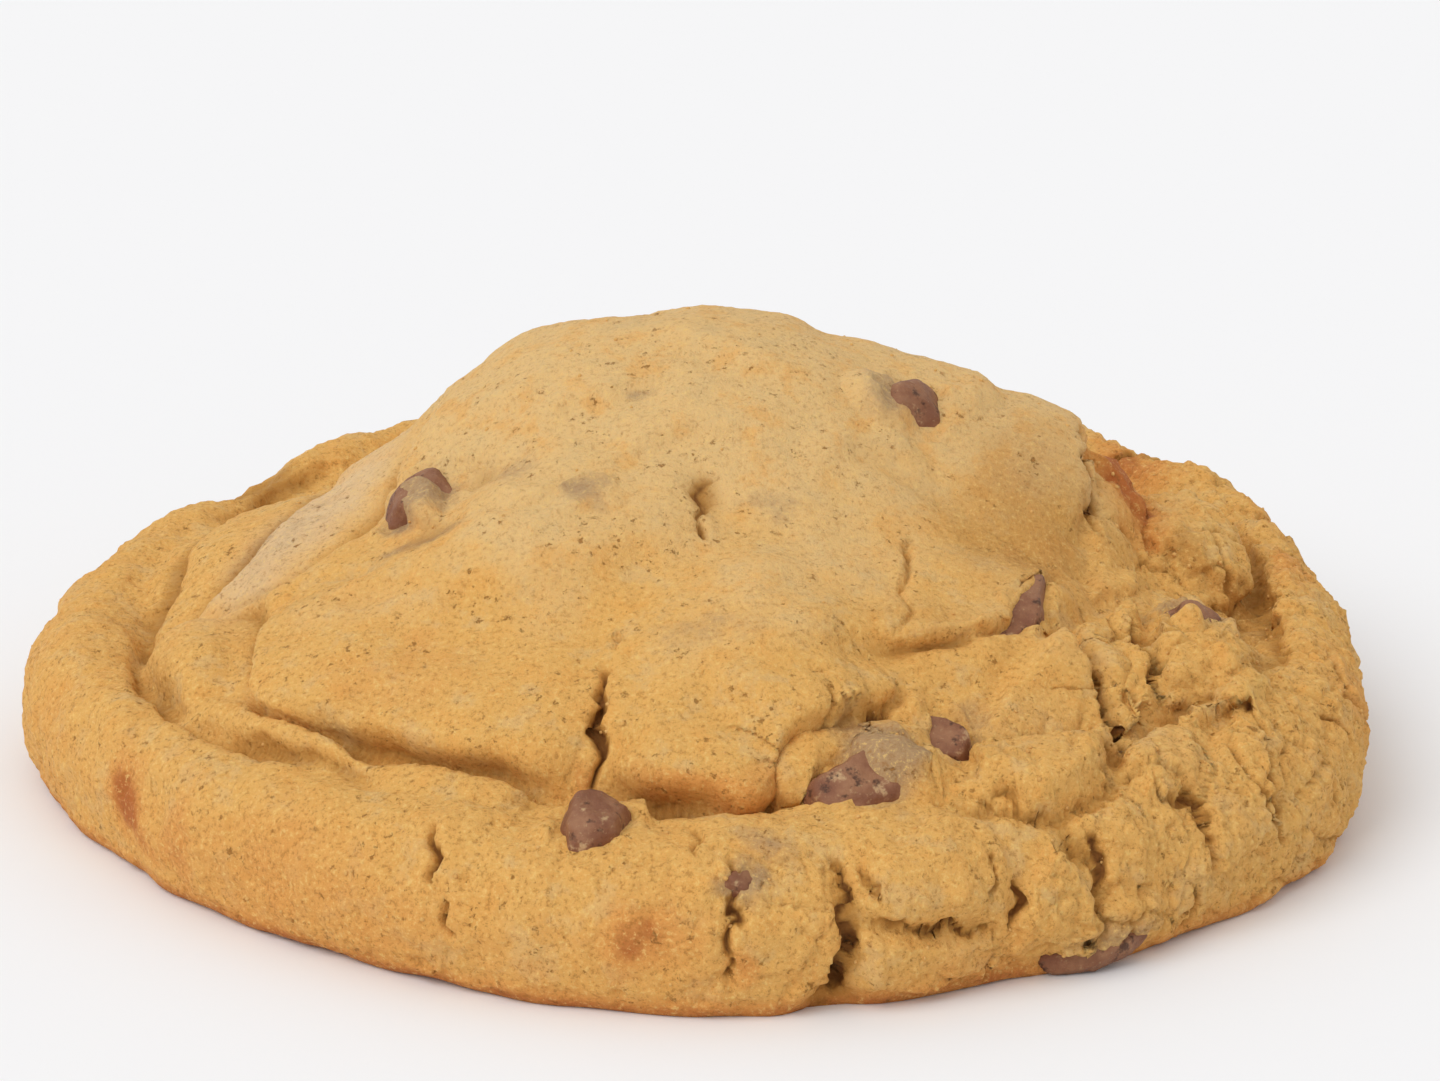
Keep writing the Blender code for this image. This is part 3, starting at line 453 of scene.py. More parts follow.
def nearLine(x, y, points, reach, step=0.5):
    # for points near a line: which they are, distance, signed distance across, share along, direction
    line = smoothLine(points, step)
    along = np.gradient(line, axis=0)
    along /= np.linalg.norm(along, axis=1)[:, None] + 1e-9
    low, high = line.min(0) - reach, line.max(0) + reach
    near = (x > low[0]) & (x < high[0]) & (y > low[1]) & (y < high[1])
    px, py = x[near], y[near]
    gap2 = (px[:, None] - line[:, 0]) ** 2 + (py[:, None] - line[:, 1]) ** 2
    k = gap2.argmin(1)
    d = np.sqrt(gap2[np.arange(len(k)), k])
    across = along[k, 0] * (py - line[k, 1]) - along[k, 1] * (px - line[k, 0])
    return near, d, across, k / (len(line) - 1), along[k]


def creaseRelief(x, y, crease):
    # height change, and the sideways push that lets the upper lip hang over the crease
    points, depth, width, step, reach, hang = crease
    near, d, across, share, along = nearLine(x, y, points, 3 * reach)
    taper = np.clip(np.minimum(share, 1.0 - share) * 5.0, 0.0, 1.0) ** 0.7
    ends = np.clip(1.0 - np.maximum(d - np.abs(across), 0.0) / 1.5, 0.0, 1.0)
    upper = 1.0 / (1.0 + np.exp(-np.clip(across / (width * 0.35), -30, 30)))
    groove = -depth * np.exp(-(d / width) ** 2) * (0.35 + 0.65 * taper)
    lip = step * upper * np.exp(-np.abs(across) / reach) * taper
    height = np.zeros_like(x)
    height[near] = (groove + lip) * ends
    # the push is greatest a little way above the crease, and moves towards it
    above = np.clip(across * np.sign(hang + 1e-9) / doughForm["lipRise"], 0.0, 8.0)
    out = hang * above * np.exp(1.0 - above) * taper * ends
    push = np.zeros(x.shape + (3,))
    push[near, 0] = along[:, 1] * out
    push[near, 1] = -along[:, 0] * out
    return height, push


def insideDepth(x, y, corners):
    # distance inside an outline of map points, negative outside it
    depth = np.full(x.shape, 1e9)
    inside = np.zeros(x.shape, bool)
    for (ax, ay), (bx, by) in zip(corners, corners[1:] + corners[:1]):
        ex, ey = bx - ax, by - ay
        t = np.clip(((x - ax) * ex + (y - ay) * ey) / (ex * ex + ey * ey), 0.0, 1.0)
        depth = np.minimum(depth, np.hypot(x - ax - t * ex, y - ay - t * ey))
        if ey:
            inside ^= ((ay > y) != (by > y)) & (x < ax + ex * (y - ay) / ey)
    return np.where(inside, depth, -depth)


def broadRelief(x, y):
    height = np.zeros_like(x)
    push = np.zeros(x.shape + (3,))
    edge = doughForm["slabEdge"]
    for corners, lift in slabs:
        height += lift * smoothStep(-edge, edge, insideDepth(x, y, corners))
    for crease in creases:
        lift, slide = creaseRelief(x, y, crease)
        height += lift
        push += slide
    for cx, cy, a, b, turn, depth in dents:
        height -= depth * np.exp(-ovalReach(x, y, cx, cy, a, b, turn) ** 2)
    return height, push


def mapGrid(n):
    # a square grid drawn out to a disc, so that no two of its points meet at the centre
    g = np.linspace(-1.0, 1.0, n + 1)
    a, b = np.meshgrid(g, g)
    wide = np.abs(a) > np.abs(b)
    r = np.where(wide, a, b)
    safeA = np.where(a == 0, 1e-9, a)
    safeB = np.where(b == 0, 1e-9, b)
    turn = np.where(wide, math.pi / 4 * b / safeA, math.pi / 2 - math.pi / 4 * a / safeB)
    u, v = r * np.cos(turn), r * np.sin(turn)
    angle = np.arctan2(v, u)
    full = around(doughForm["outerRadius"], angle) - around(doughForm["crestInset"], angle)
    full = np.hypot(u, v) * (full + doughForm["wallRun"])
    return full * np.cos(angle), full * np.sin(angle)


def gridNormals(p):
    n = np.cross(np.gradient(p, axis=1), np.gradient(p, axis=0))
    return n / (np.linalg.norm(n, axis=-1, keepdims=True) + 1e-12)


def softNoise(p, size, seed=0.0):
    # smooth noise from -1 to 1, its features about the given size
    q = p.reshape(-1, 3) / size + seed
    return np.array([noise.noise(Vector(v)) for v in q]).reshape(p.shape[:-1])


cellSpread = 13.7    # keeps the random values of neighbouring cells unlike each other


def brokenCells(p, size, lean, seed):
    # irregular cells: how near their borders are, and the height at which each stands and leans
    q = p.reshape(-1, 3) / size + seed
    centre = Vector((0.5, 0.5, 0.5))
    edges, steps = np.empty(len(q)), np.empty(len(q))
    for i, v in enumerate(q):
        v = Vector(v)
        far, middles = noise.voronoi(v)
        own = noise.cell_vector(middles[0] * cellSpread)
        edges[i] = far[1] - far[0]
        steps[i] = 2.0 * own.x - 1.0 + lean * (v - middles[0]).dot(own - centre)
    return edges.reshape(p.shape[:-1]), steps.reshape(p.shape[:-1])


# The crust's finer relief, in millimetres.
crustDetail = {
    # creases and slabs wander off their lines, cracks do so in finer steps, and their edges crumble
    "wanderSize": 3.4, "wanderReach": 0.45,
    "jagSize": 1.5, "jagReach": 0.36, "jagFineSize": 0.7, "jagFineReach": 0.24,
    "crumbleSize": 0.42, "crumbleReach": 0.13,
    # a crack's half width at its ends, the share of its width kept, and how upright its walls are
    "crackEnd": 0.22, "crackShare": 0.78, "crackWall": 2.5,
    # relief all over the crust, from the widest to the finest
    "wrinkleSize": 3.4, "wrinkleHeight": 0.24,
    "crumbSize": 1.25, "crumbHeight": 0.17,
    "grainSize": 0.62, "grainHeight": 0.1,
    # the ragged collar of dough round a chip, its width as a share of the chip's
    "collarSize": 1.5, "collarHeight": 0.5, "collarWidth": 0.16,
    # open pores, in a share of the cells
    "poreSpacing": 2.6, "poreWidth": 0.15, "poreDepth": 0.38, "poreShare": 0.40, "poreSeed": 31.0,
    # crumbled plates on the broken side, with gaps between them (their width as a share of the size)
    "plateSize": 4.6, "plateDepth": 0.65, "plateStep": 0.34, "plateLean": 0.9, "plateGap": 0.07,
    "smallPlateSize": 1.9, "smallPlateDepth": 0.22, "smallPlateStep": 0.09, "smallPlateGap": 0.10,
    "plateAreas": 9.0,
    # how ragged the browned and smeared patches are
    "patchSize": 3.0, "patchReach": 1.6, "toastSize": 6.0,
    # how far up the wall the relief fades in from the flat foot
    "footFade": 1.2,
}

# Where the crust is torn and crumbly: x, y, half length, half width, turn, strength.
brokenSpots = [
    (25.0, -38.0, 12.0, 11.0, 0, 0.7),
    (8.0, -49.0, 12.0, 8.0, 0, 0.55),
    (10.0, 45.0, 22.0, 9.0, 0, 0.5),
    (-16.0, -44.0, 14.0, 6.0, 20, 0.3),
]


def brokenShare(x, y):
    # the right side and its rim, beginning nearer the middle towards the front, and the spots above
    share = 0.95 * smoothStep(27.0, 38.0, x + 0.28 * np.abs(y + 4) * (y < 4))
    for cx, cy, a, b, turn, strength in brokenSpots:
        share = np.maximum(share, strength * np.exp(-ovalReach(x, y, cx, cy, a, b, turn) ** 2))
    return np.clip(share, 0.0, 1.0)


def crackDepths(x, y, crumble):
    # crumble moves the two edges of a crack in and out
    detail = crustDetail
    depth = np.zeros_like(x)
    for points, deepest, width, widest in cracks:
        near, d, across, share, along = nearLine(x, y, points, 2.0, 0.25)
        taper = np.clip(np.where(share < widest, share / widest, (1 - share) / (1.001 - widest)), 0, 1)
        ends = np.clip(np.minimum(share, 1 - share) * 12, 0, 1)
        wide = detail["crackEnd"] + (detail["crackShare"] * width - detail["crackEnd"]) * taper
        d = np.maximum(d + crumble[near], 0.0)
        cut = deepest * (0.5 + 0.5 * taper) * np.exp(-(d / wide) ** detail["crackWall"]) * ends
        depth[near] = np.maximum(depth[near], cut)
    return depth


def chipCollars(p, x, y):
    # the dough stands up in a ragged edge round each chip
    detail = crustDetail
    out = np.zeros_like(x)
    ragged = detail["collarHeight"] * smoothStep(-0.4, 0.5, softNoise(p, detail["collarSize"], 5.8))
    for name, cx, cy, a, b, c, turn, lift in chips:
        edge = (ovalReach(x, y, cx, cy, a, b, turn) - 1.0) / detail["collarWidth"]
        out = np.maximum(out, ragged * np.exp(-edge ** 2))
    return out


def openPores(p):
    # small pits, each in an irregular cell of its own, and in a share of the cells only
    detail = crustDetail
    out = np.zeros(p.size // 3)
    for i, v in enumerate(p.reshape(-1, 3) / detail["poreSpacing"] + detail["poreSeed"]):
        far, middles = noise.voronoi(Vector(v))
        if far[0] < 0.5:
            own = noise.cell_vector(middles[0] * cellSpread)
            wide = detail["poreWidth"] * (0.6 + 0.8 * own.y)
            out[i] = (own.x < detail["poreShare"]) * (0.5 + 0.5 * own.z) * math.exp(-(far[0] / wide) ** 2)
    return detail["poreDepth"] * out.reshape(p.shape[:-1])


def finerRelief(p, x, y, broken):
    # films, wrinkles, crumb, grain and plates on the crust, and the gaps and pores to take out of it
    detail = crustDetail
    height = np.zeros_like(x)
    for points, rise, width in wrinkles:
        near, d, across, share, along = nearLine(x, y, points, 4 * width)
        ends = np.clip(np.minimum(share, 1 - share) * 4, 0, 1)
        wave = np.exp(-((across / width - 0.7) ** 2)) - np.exp(-((across / width + 0.7) ** 2))
        height[near] += rise * wave * ends * (d < 1.2 * np.abs(across) + 1.0)
    for cx, cy, a, b, turn, lift in films:
        height += lift * smoothStep(1.25, 0.65, ovalReach(x, y, cx, cy, a, b, turn))
    # the relief is stronger where the crust is broken, and somewhat on the rim
    rough = np.maximum(broken, 0.55 * smoothStep(36, 44, np.hypot(x, y)))
    height += detail["wrinkleHeight"] * softNoise(p, detail["wrinkleSize"], 6.6) * (0.8 + 0.5 * rough)
    height += detail["crumbHeight"] * softNoise(p, detail["crumbSize"], 8.8) * (0.5 + 1.3 * rough)
    height += detail["grainHeight"] * softNoise(p, detail["grainSize"], 0.4) * (0.9 + 1.1 * rough)
    edges, steps = brokenCells(p, detail["plateSize"], detail["plateLean"], 2.2)
    fineEdges, fineSteps = brokenCells(p, detail["smallPlateSize"], detail["plateLean"], 7.4)
    patchy = smoothStep(-0.25, 0.45, softNoise(p, detail["plateAreas"], 4.4))
    height += broken * (detail["plateStep"] * steps + detail["smallPlateStep"] * fineSteps)
    height += 0.35 * (rough - broken) * detail["plateStep"] * steps
    gaps = detail["plateDepth"] * np.exp(-(edges / detail["plateGap"]) ** 2) * broken * patchy
    fineGaps = np.exp(-(fineEdges / detail["smallPlateGap"]) ** 2)
    gaps += detail["smallPlateDepth"] * fineGaps * (0.8 * broken + 0.2 * rough)
    return height + chipCollars(p, x, y), gaps + openPores(p)


def spotStrength(x, y, spots):
    out = np.zeros_like(x)
    for cx, cy, a, b, turn, strength in spots:
        out = np.maximum(out, strength * np.exp(-ovalReach(x, y, cx, cy, a, b, turn) ** 2.5))
    return out


def buildDough(material):
    n = doughForm["gridSteps"]
    mapX, mapY = mapGrid(n)
    p = skinPoint(mapX, mapY)
    flat = np.stack([mapX, mapY, np.zeros_like(mapX)], -1)
    detail = crustDetail
    jagX = detail["jagReach"] * softNoise(flat, detail["jagSize"], 3.1)
    jagY = detail["jagReach"] * softNoise(flat, detail["jagSize"], 9.7)
    jagX += detail["jagFineReach"] * softNoise(flat, detail["jagFineSize"], 5.3)
    jagY += detail["jagFineReach"] * softNoise(flat, detail["jagFineSize"], 1.9)
    x, y = mapX + jagX, mapY + jagY
    wanderX = detail["wanderReach"] * softNoise(flat, detail["wanderSize"], 4.6)
    wanderY = detail["wanderReach"] * softNoise(flat, detail["wanderSize"], 8.2)
    broad, push = broadRelief(mapX + wanderX, mapY + wanderY)
    form = doughForm
    lumps = softNoise(p, form["lumpSize"])
    lumps += form["smallShare"] * softNoise(p, form["lumpSize"] / form["smallLumps"])
    p = p + gridNormals(p) * (broad + form["lumpHeight"] * lumps)[..., None] + push
    print("form ready")

    broken = brokenShare(mapX, mapY)
    # a crack that runs along a crease only deepens it a little
    torn = crackDepths(x, y, detail["crumbleReach"] * softNoise(flat, detail["crumbleSize"], 6.7))
    crack = np.maximum(torn - 0.7 * np.maximum(-broad, 0.0), 0.35 * torn)
    ragged = np.stack([jagX, jagY, 0 * jagX], -1)
    fine, gaps = finerRelief(p + ragged, x, y, broken)
    edgeFade = smoothStep(0.0, detail["footFade"], p[..., 2])
    p = p + gridNormals(p) * ((fine - gaps - crack) * edgeFade)[..., None]
    rim = np.zeros(mapX.shape, bool)
    rim[0, :] = rim[-1, :] = rim[:, 0] = rim[:, -1] = True
    p[..., 2] = np.where(rim, 0.0, np.maximum(p[..., 2], 0.02))
    print("crust ready")

    size = n + 1
    ids = np.arange(size * size).reshape(size, size)
    quads = np.stack([ids[:-1, :-1], ids[:-1, 1:], ids[1:, 1:], ids[1:, :-1]], -1).reshape(-1, 4)
    foot = list(ids[0, :]) + list(ids[1:, -1]) + list(ids[-1, -2::-1]) + list(ids[-2:0:-1, 0])
    mesh = bpy.data.meshes.new("baked_dough")
    faces = quads.tolist() + [[int(i) for i in reversed(foot)]]
    mesh.from_pydata((p.reshape(-1, 3) * mm).tolist(), [], faces)
    mesh.update()

    patchX = x + detail["patchReach"] * softNoise(flat, detail["patchSize"], 12.3)
    patchY = y + detail["patchReach"] * softNoise(flat, detail["patchSize"], 14.9)
    reach = np.hypot(mapX, mapY)
    # browning, and the painted shade of two of the spots
    toastAndShade = spotStrength(patchX, patchY, toastAndShadeSpots) + 0.16 * softNoise(p, detail["toastSize"], 2.7)
    # the rim is browner than the dome, less so where it is broken
    toastAndShade += 0.42 * smoothStep(38, 56, reach) * (1 - 0.5 * broken)
    # cracks and gaps show the moist crumb inside, with painted shade that darkens them the deeper they
    # go, and creases and dents get some painted shade too
    pitsAndShade = np.maximum(np.clip((torn + gaps - 0.15) / 0.9, 0, 1), 0.6 * np.clip(-broad / 1.1, 0, 1))
    layers = {
        "toastAndShade": toastAndShade,
        "smear": spotStrength(patchX, patchY, smearSpots),
        "paintedShade": spotStrength(patchX, patchY, paintedShadeSpots),
        # painted shade on the dome's right slope and in creases and hollows
        "chalky": spotStrength(patchX, patchY, chalkySpots),
        "broken": broken,
        "pitsAndShade": pitsAndShade,
    }
    for name, values in layers.items():
        layer = mesh.attributes.new(name, "FLOAT", "POINT")
        layer.data.foreach_set("value", np.clip(values, 0, 1.5).reshape(-1).astype(np.float32))
    obj = placeMesh("baked_dough", mesh, material)
    thin = obj.modifiers.new("thin", "DECIMATE")
    thin.ratio = doughForm["keptShare"]
    thin.use_collapse_triangulate = True
    bpy.context.view_layer.update()
    seen = obj.evaluated_get(bpy.context.evaluated_depsgraph_get())
    thinned = bpy.data.meshes.new_from_object(seen)
    obj.modifiers.clear()
    obj.data = thinned
    thinned.shade_smooth()
    return obj


slopeReach = 1.5    # distance in millimetres over which the slope under a chip is measured


def chipFrame(mapX, mapY, turn, lift):
    # axes on the skin at a map point: z is its outward normal
    columns = np.array([[mapX - slopeReach, mapX, mapX + slopeReach]] * 3)
    rows = np.array([[mapY - slopeReach] * 3, [mapY] * 3, [mapY + slopeReach] * 3])
    p = skinPoint(columns, rows)
    n = gridNormals(p)[1, 1]
    height, push = broadRelief(columns, rows)
    centre = Vector(p[1, 1] + n * height[1, 1] + push[1, 1])
    normal = Vector(n)
    side = Vector(p[1, 2] - p[1, 0])
    side = (side - normal * side.dot(normal)).normalized()
    matrix = Matrix((side, normal.cross(side), normal)).transposed().to_4x4()
    matrix = Matrix.Translation((centre + normal * lift) * mm) @ matrix
    return matrix @ Matrix.Rotation(math.radians(turn), 4, "Z")


chipLook = {
    "segments": 56, "rings": 36,
    "waveSize": 2.4, "waveHeight": 0.45, "fineSize": 0.7, "fineHeight": 0.12,
    "tipShape": 1.15, "underShape": 0.8, "underDepth": 0.72,    # drawn up above, full and flatter below
    "facets": 9, "facetReach": 0.74, "facetCut": 0.85,    # flats where the soft chip was pressed
    "seedStep": 3.7,    # moves the waves on for each chip
}


def buildChip(name, half, place, seed, material):
    # a chip's form: round in plan, flat below, drawn up to a blunt tip, softened by the oven
    look = chipLook
    rng = np.random.default_rng(seed)
    ways = rng.normal(size=(look["facets"], 3)) * (1, 1, 0.7) + (0, 0, 0.35)    # most of them upwards
    ways = [Vector(v).normalized() for v in ways]
    size = Vector(half)
    step = look["seedStep"] * seed
    bm = bmesh.new()

    def shaped(unit):
        for way in ways:
            over = unit.dot(way) - look["facetReach"]
            if over > 0:
                unit = unit - way * over * look["facetCut"]
        v = unit * size
        wave = look["waveHeight"] * noise.noise(v / look["waveSize"] + Vector((step, 0, 0)))
        wave += look["fineHeight"] * noise.noise(v / look["fineSize"] + Vector((0, step, 0)))
        return v + v.normalized() * wave

    levels = []
    for j in range(1, look["rings"]):
        down = math.pi * j / look["rings"]    # angle from the tip
        up = math.cos(down)
        wide = math.sin(down) ** (look["underShape"] if up < 0 else look["tipShape"])
        z = up if up > 0 else look["underDepth"] * up
        turns = (2 * math.pi * i / look["segments"] for i in range(look["segments"]))
        ring = (Vector((wide * math.cos(a), wide * math.sin(a), z)) for a in turns)
        levels.append([bm.verts.new(shaped(v)) for v in ring])
    tip = bm.verts.new(shaped(Vector((0, 0, 1))))
    base = bm.verts.new(shaped(Vector((0, 0, -look["underDepth"]))))
    n = look["segments"]
    for i in range(n):
        k = (i + 1) % n
        bm.faces.new((tip, levels[0][i], levels[0][k]))
        bm.faces.new((base, levels[-1][k], levels[-1][i]))
        for low, high in zip(levels[1:], levels[:-1]):
            bm.faces.new((high[i], low[i], low[k], high[k]))
    bmesh.ops.scale(bm, vec=(mm, mm, mm), verts=bm.verts)
    bmesh.ops.transform(bm, matrix=place, verts=bm.verts)
    for v in bm.verts:
        v.co.z = max(v.co.z, 0.0)
    mesh = bpy.data.meshes.new(name)
    bm.to_mesh(mesh)
    bm.free()
    mesh.shade_smooth()
    return placeMesh(name, mesh, material)


def addNode(tree, kind, settings=None, inputs=None):
    # one node with its settings, and its inputs set to values or linked to sockets
    node = tree.nodes.new(kind)
    for key, value in (settings or {}).items():
        setattr(node, key, value)
    for key, value in (inputs or {}).items():
        if isinstance(value, bpy.types.NodeSocket):
            tree.links.new(value, node.inputs[key])
        else:
            node.inputs[key].default_value = value
    return node


def newMaterial(name):
    material = bpy.data.materials.new(name)
    material.use_nodes = True
    material.node_tree.nodes.clear()
    return material, material.node_tree


doughColors = {
    "pale": "#E2BA7C",      # flour-pale crown
    "golden": "#E2AD5F",    # baked flanks
    "toasted": "#DC9A50",   # rim and base edge
    "honey": "#E4A452",     # patches where butter browned
    "dust": "#D6B680",      # drier, floury patches
    "paintedShade": "#AC7A3A",     # painted shade on the right slope and in creases and hollows
    "chalky": "#E3C49A",    # paler, floury dough
    "dark": "#B4652F",      # hardest baked spots
    "crumb": "#B07A33",     # moist crumb down in the cracks, and painted shade in creases and dents
    "deep": "#74431B",      # painted shade at the bottom of a crack or gap
    "grain": "#F0CA7C",     # bright sugar and butter grains
    "pore": "#9A6628",      # small open pores
    "smear": "#A98A68",     # chocolate rubbed thinly into the dough
}

# Noise patterns in the crust: size in millimetres, detail, roughness, seed.
doughNoise = {
    "cloud": (9.0, 3.0, 0.55, 0.0),        # wide, pale and golden areas
    "shade": (3.2, 4.0, 0.65, 0.41),       # honey brown and floury patches
    "toastEdge": (3.0, 5.0, 0.7, 0.02),    # frays the browned patches
    "smearEdge": (2.0, 5.0, 0.7, 0.05),    # and the chocolate smears
    "speckle": (0.42, 5.0, 0.75, 0.91),    # bright grains and dark flecks of 0.1 to 0.4 mm
    "pore": (0.75, 5.0, 0.7, 0.31),        # open pores
    "poreArea": (4.0, 4.0, 0.7, 0.77),     # and where they come together
    "coarse": (0.9, 4.0, 0.7, 0.2),        # roughness that only the light shows
}

# Layers of colour over the golden crust, the lowest first: what drives each, the values at which it
# starts and is full, its greatest share (a number, or the name of what drives it), and its colour.
doughLayers = [
    ("crown", 0.15, 0.95, 1.0, "pale"),
    ("shade", 0.50, 0.66, 0.45, "honey"),
    ("shade", 0.48, 0.34, 0.40, "dust"),
    # browning, with painted shade where the spots put it
    ("brownedAndShade", 0.10, 1.0, 1.0, "toasted"),
    ("brownedAndShade", 0.9, 1.6, 1.0, "dark"),
    # painted shade, a darker brown
    ("paintedShade", 0.0, 1.1, 0.6, "paintedShade"),
    ("chalky", 0.0, 1.0, 0.7, "chalky"),
    ("smeared", 0.65, 1.40, 0.85, "smear"),
    ("speckle", 0.53, 0.66, "grainShare", "grain"),
    ("speckle", 0.48, 0.36, "fleckShare", "pore"),
    ("pore", 0.40, 0.33, "poreShare", "pore"),
    # painted shade in cracks, gaps, creases and dents, over the crumb colour of the cracks
    ("pitsAndShade", 0.12, 0.6, 0.7, "crumb"),
    ("pitsAndShade", 0.5, 1.0, 0.8, "deep"),
]

# Values that run smoothly over the height above the foot: two heights, and the value at each.
doughHeights = {
    "crownHeight": (13.0, 31.0, -0.65, 0.35),   # paler towards the top
    "foot": (2.2, 0.4, -0.45, 0.45),            # browned where it lay on the tray
    "clear": (26.0, 12.0, 0.65, 1.0),           # the speckle is clearest on the sides
}

doughFinish = {
    "bumpStrength": 0.8, "bumpHeight": 0.4,     # millimetres
    "roughness": 0.78, "ior": 1.45, "specular": 0.28,
    "throughLight": 0.10, "throughReach": 1.0, "throughColor": (1.0, 0.55, 0.25),
}


def doughMaterial():
    # Baked cookie dough, oven browned: a dull, dry, grainy crust, paler on the crown, browner at the
    # rim, with open pores and bright grains of sugar, painted shade in its cracks, creases and hollows and
    # on the dome's right slope, and a little light let through the crumb.
    material, tree = newMaterial("baked_cookie_dough")
    color = {key: hexColor(value) for key, value in doughColors.items()}
    smooth = {"interpolation_type": "SMOOTHSTEP"}
    where = addNode(tree, "ShaderNodeTexCoord").outputs["Object"]
    height = addNode(tree, "ShaderNodeSeparateXYZ", None, {"Vector": where}).outputs["Z"]
    field = {}
    for name in ("toastAndShade", "smear", "paintedShade", "chalky", "pitsAndShade"):
        field[name] = addNode(tree, "ShaderNodeAttribute", {"attribute_name": name}).outputs["Fac"]
    for name, (size, detail, rough, seed) in doughNoise.items():
        moved = addNode(tree, "ShaderNodeMapping", None, {"Vector": where, "Location": (seed, seed, seed)})
        field[name] = addNode(tree, "ShaderNodeTexNoise", None, {
            "Vector": moved.outputs[0], "Scale": 1.0 / (size * mm), "Detail": detail,
            "Roughness": rough}).outputs["Fac"]
    for name, (low, high, start, end) in doughHeights.items():
        field[name] = addNode(tree, "ShaderNodeMapRange", smooth, {
            "Value": height, "From Min": low * mm, "From Max": high * mm,
            "To Min": start, "To Max": end}).outputs[0]
    field["poreShare"] = addNode(tree, "ShaderNodeMapRange", smooth, {
        "Value": field["poreArea"], "From Min": 0.42, "From Max": 0.56, "To Max": 0.8}).outputs[0]
    # sums of what is above: the patches' strength with the noise that frays them
    for name, kind, a, b, c in (
            ("crown", "MULTIPLY_ADD", "cloud", 1.3, "crownHeight"),
            ("edge", "ADD", "toastAndShade", "foot", 0.0),
            ("brownedAndShade", "MULTIPLY_ADD", "toastEdge", 0.9, "edge"),
            ("smeared", "MULTIPLY_ADD", "smearEdge", 0.9, "smear"),
            ("grainShare", "MULTIPLY", "clear", 0.65, 0.0),
            ("fleckShare", "MULTIPLY", "clear", 0.5, 0.0)):
        inputs = {0: field[a], 1: field.get(b, b), 2: field.get(c, c)}
        field[name] = addNode(tree, "ShaderNodeMath", {"operation": kind}, inputs).outputs[0]

    base, shares = color["golden"], {}
    for drive, low, high, most, name in doughLayers:
        shares[drive] = addNode(tree, "ShaderNodeMapRange", smooth, {
            "Value": field[drive], "From Min": low, "From Max": high,
            "To Max": field.get(most, most)}).outputs[0]
        base = addNode(tree, "ShaderNodeMix", {"data_type": "RGBA"}, {
            0: shares[drive], 6: base, 7: color[name]}).outputs[2]

    # grains stand up and pores are sunk
    relief = 0.0
    for value, part in ((field["speckle"], 0.6), (field["coarse"], 0.6), (shares["pore"], -0.375)):
        relief = addNode(tree, "ShaderNodeMath", {"operation": "MULTIPLY_ADD"}, {
            0: value, 1: part, 2: relief}).outputs[0]
    finish = doughFinish
    bump = addNode(tree, "ShaderNodeBump", None, {
        "Height": relief, "Strength": finish["bumpStrength"], "Distance": finish["bumpHeight"] * mm})
    shader = addNode(tree, "ShaderNodeBsdfPrincipled", None, {
        "Base Color": base, "Normal": bump.outputs[0], "Roughness": finish["roughness"],
        "IOR": finish["ior"], "Specular IOR Level": finish["specular"],
        "Subsurface Weight": finish["throughLight"], "Subsurface Scale": finish["throughReach"] * mm,
        "Subsurface Radius": finish["throughColor"]})
    addNode(tree, "ShaderNodeOutputMaterial", None, {"Surface": shader.outputs[0]})
    return material


chipColors = {"chocolate": "#7F4F35", "worn": "#986A4A", "film": "#C6A478", "deep": "#4A2B1A"}

# Layers of colour over the chocolate, the lowest first: size of the pattern in millimetres, detail,
# the values at which it starts and is full, greatest share, colour.
chipLayers = [
    (2.4, 4.0, 0.35, 0.65, 1.0, "worn"),
    (2.6, 6.0, 0.60, 0.68, 0.8, "film"),
    (1.1, 4.0, 0.44, 0.32, 0.9, "deep"),
    (0.35, 4.0, 0.58, 0.70, 0.35, "film"),
    (0.5, 5.0, 0.2, 0.8, 1.0, None),          # the fine scuffs, which only the light shows
]

chipFinish = {
    "patternRoughness": 0.65,
    "bumpStrength": 0.45, "bumpHeight": 0.18,    # millimetres
    "roughness": 0.55, "ior": 1.5, "specular": 0.35,
}


def chipMaterial():
    # Milk chocolate that has melted and set again: a dull satin brown with a dry, dusty film of
    # dough over part of it and fine scuffs.
    material, tree = newMaterial("milk_chocolate")
    color = {key: hexColor(value) for key, value in chipColors.items()}
    where = addNode(tree, "ShaderNodeTexCoord").outputs["Object"]
    finish = chipFinish
    base = color["chocolate"]
    for size, detail, low, high, most, name in chipLayers:
        pattern = addNode(tree, "ShaderNodeTexNoise", None, {
            "Vector": where, "Scale": 1.0 / (size * mm), "Detail": detail,
            "Roughness": finish["patternRoughness"]})
        share = addNode(tree, "ShaderNodeMapRange", {"interpolation_type": "SMOOTHSTEP"}, {
            "Value": pattern.outputs["Fac"], "From Min": low, "From Max": high, "To Max": most}).outputs[0]
        if name:
            base = addNode(tree, "ShaderNodeMix", {"data_type": "RGBA"}, {
                0: share, 6: base, 7: color[name]}).outputs[2]
    bump = addNode(tree, "ShaderNodeBump", None, {
        "Height": share, "Strength": finish["bumpStrength"], "Distance": finish["bumpHeight"] * mm})
    shader = addNode(tree, "ShaderNodeBsdfPrincipled", None, {
        "Base Color": base, "Normal": bump.outputs[0], "Roughness": finish["roughness"],
        "IOR": finish["ior"], "Specular IOR Level": finish["specular"]})
    addNode(tree, "ShaderNodeOutputMaterial", None, {"Surface": shader.outputs[0]})
    return material


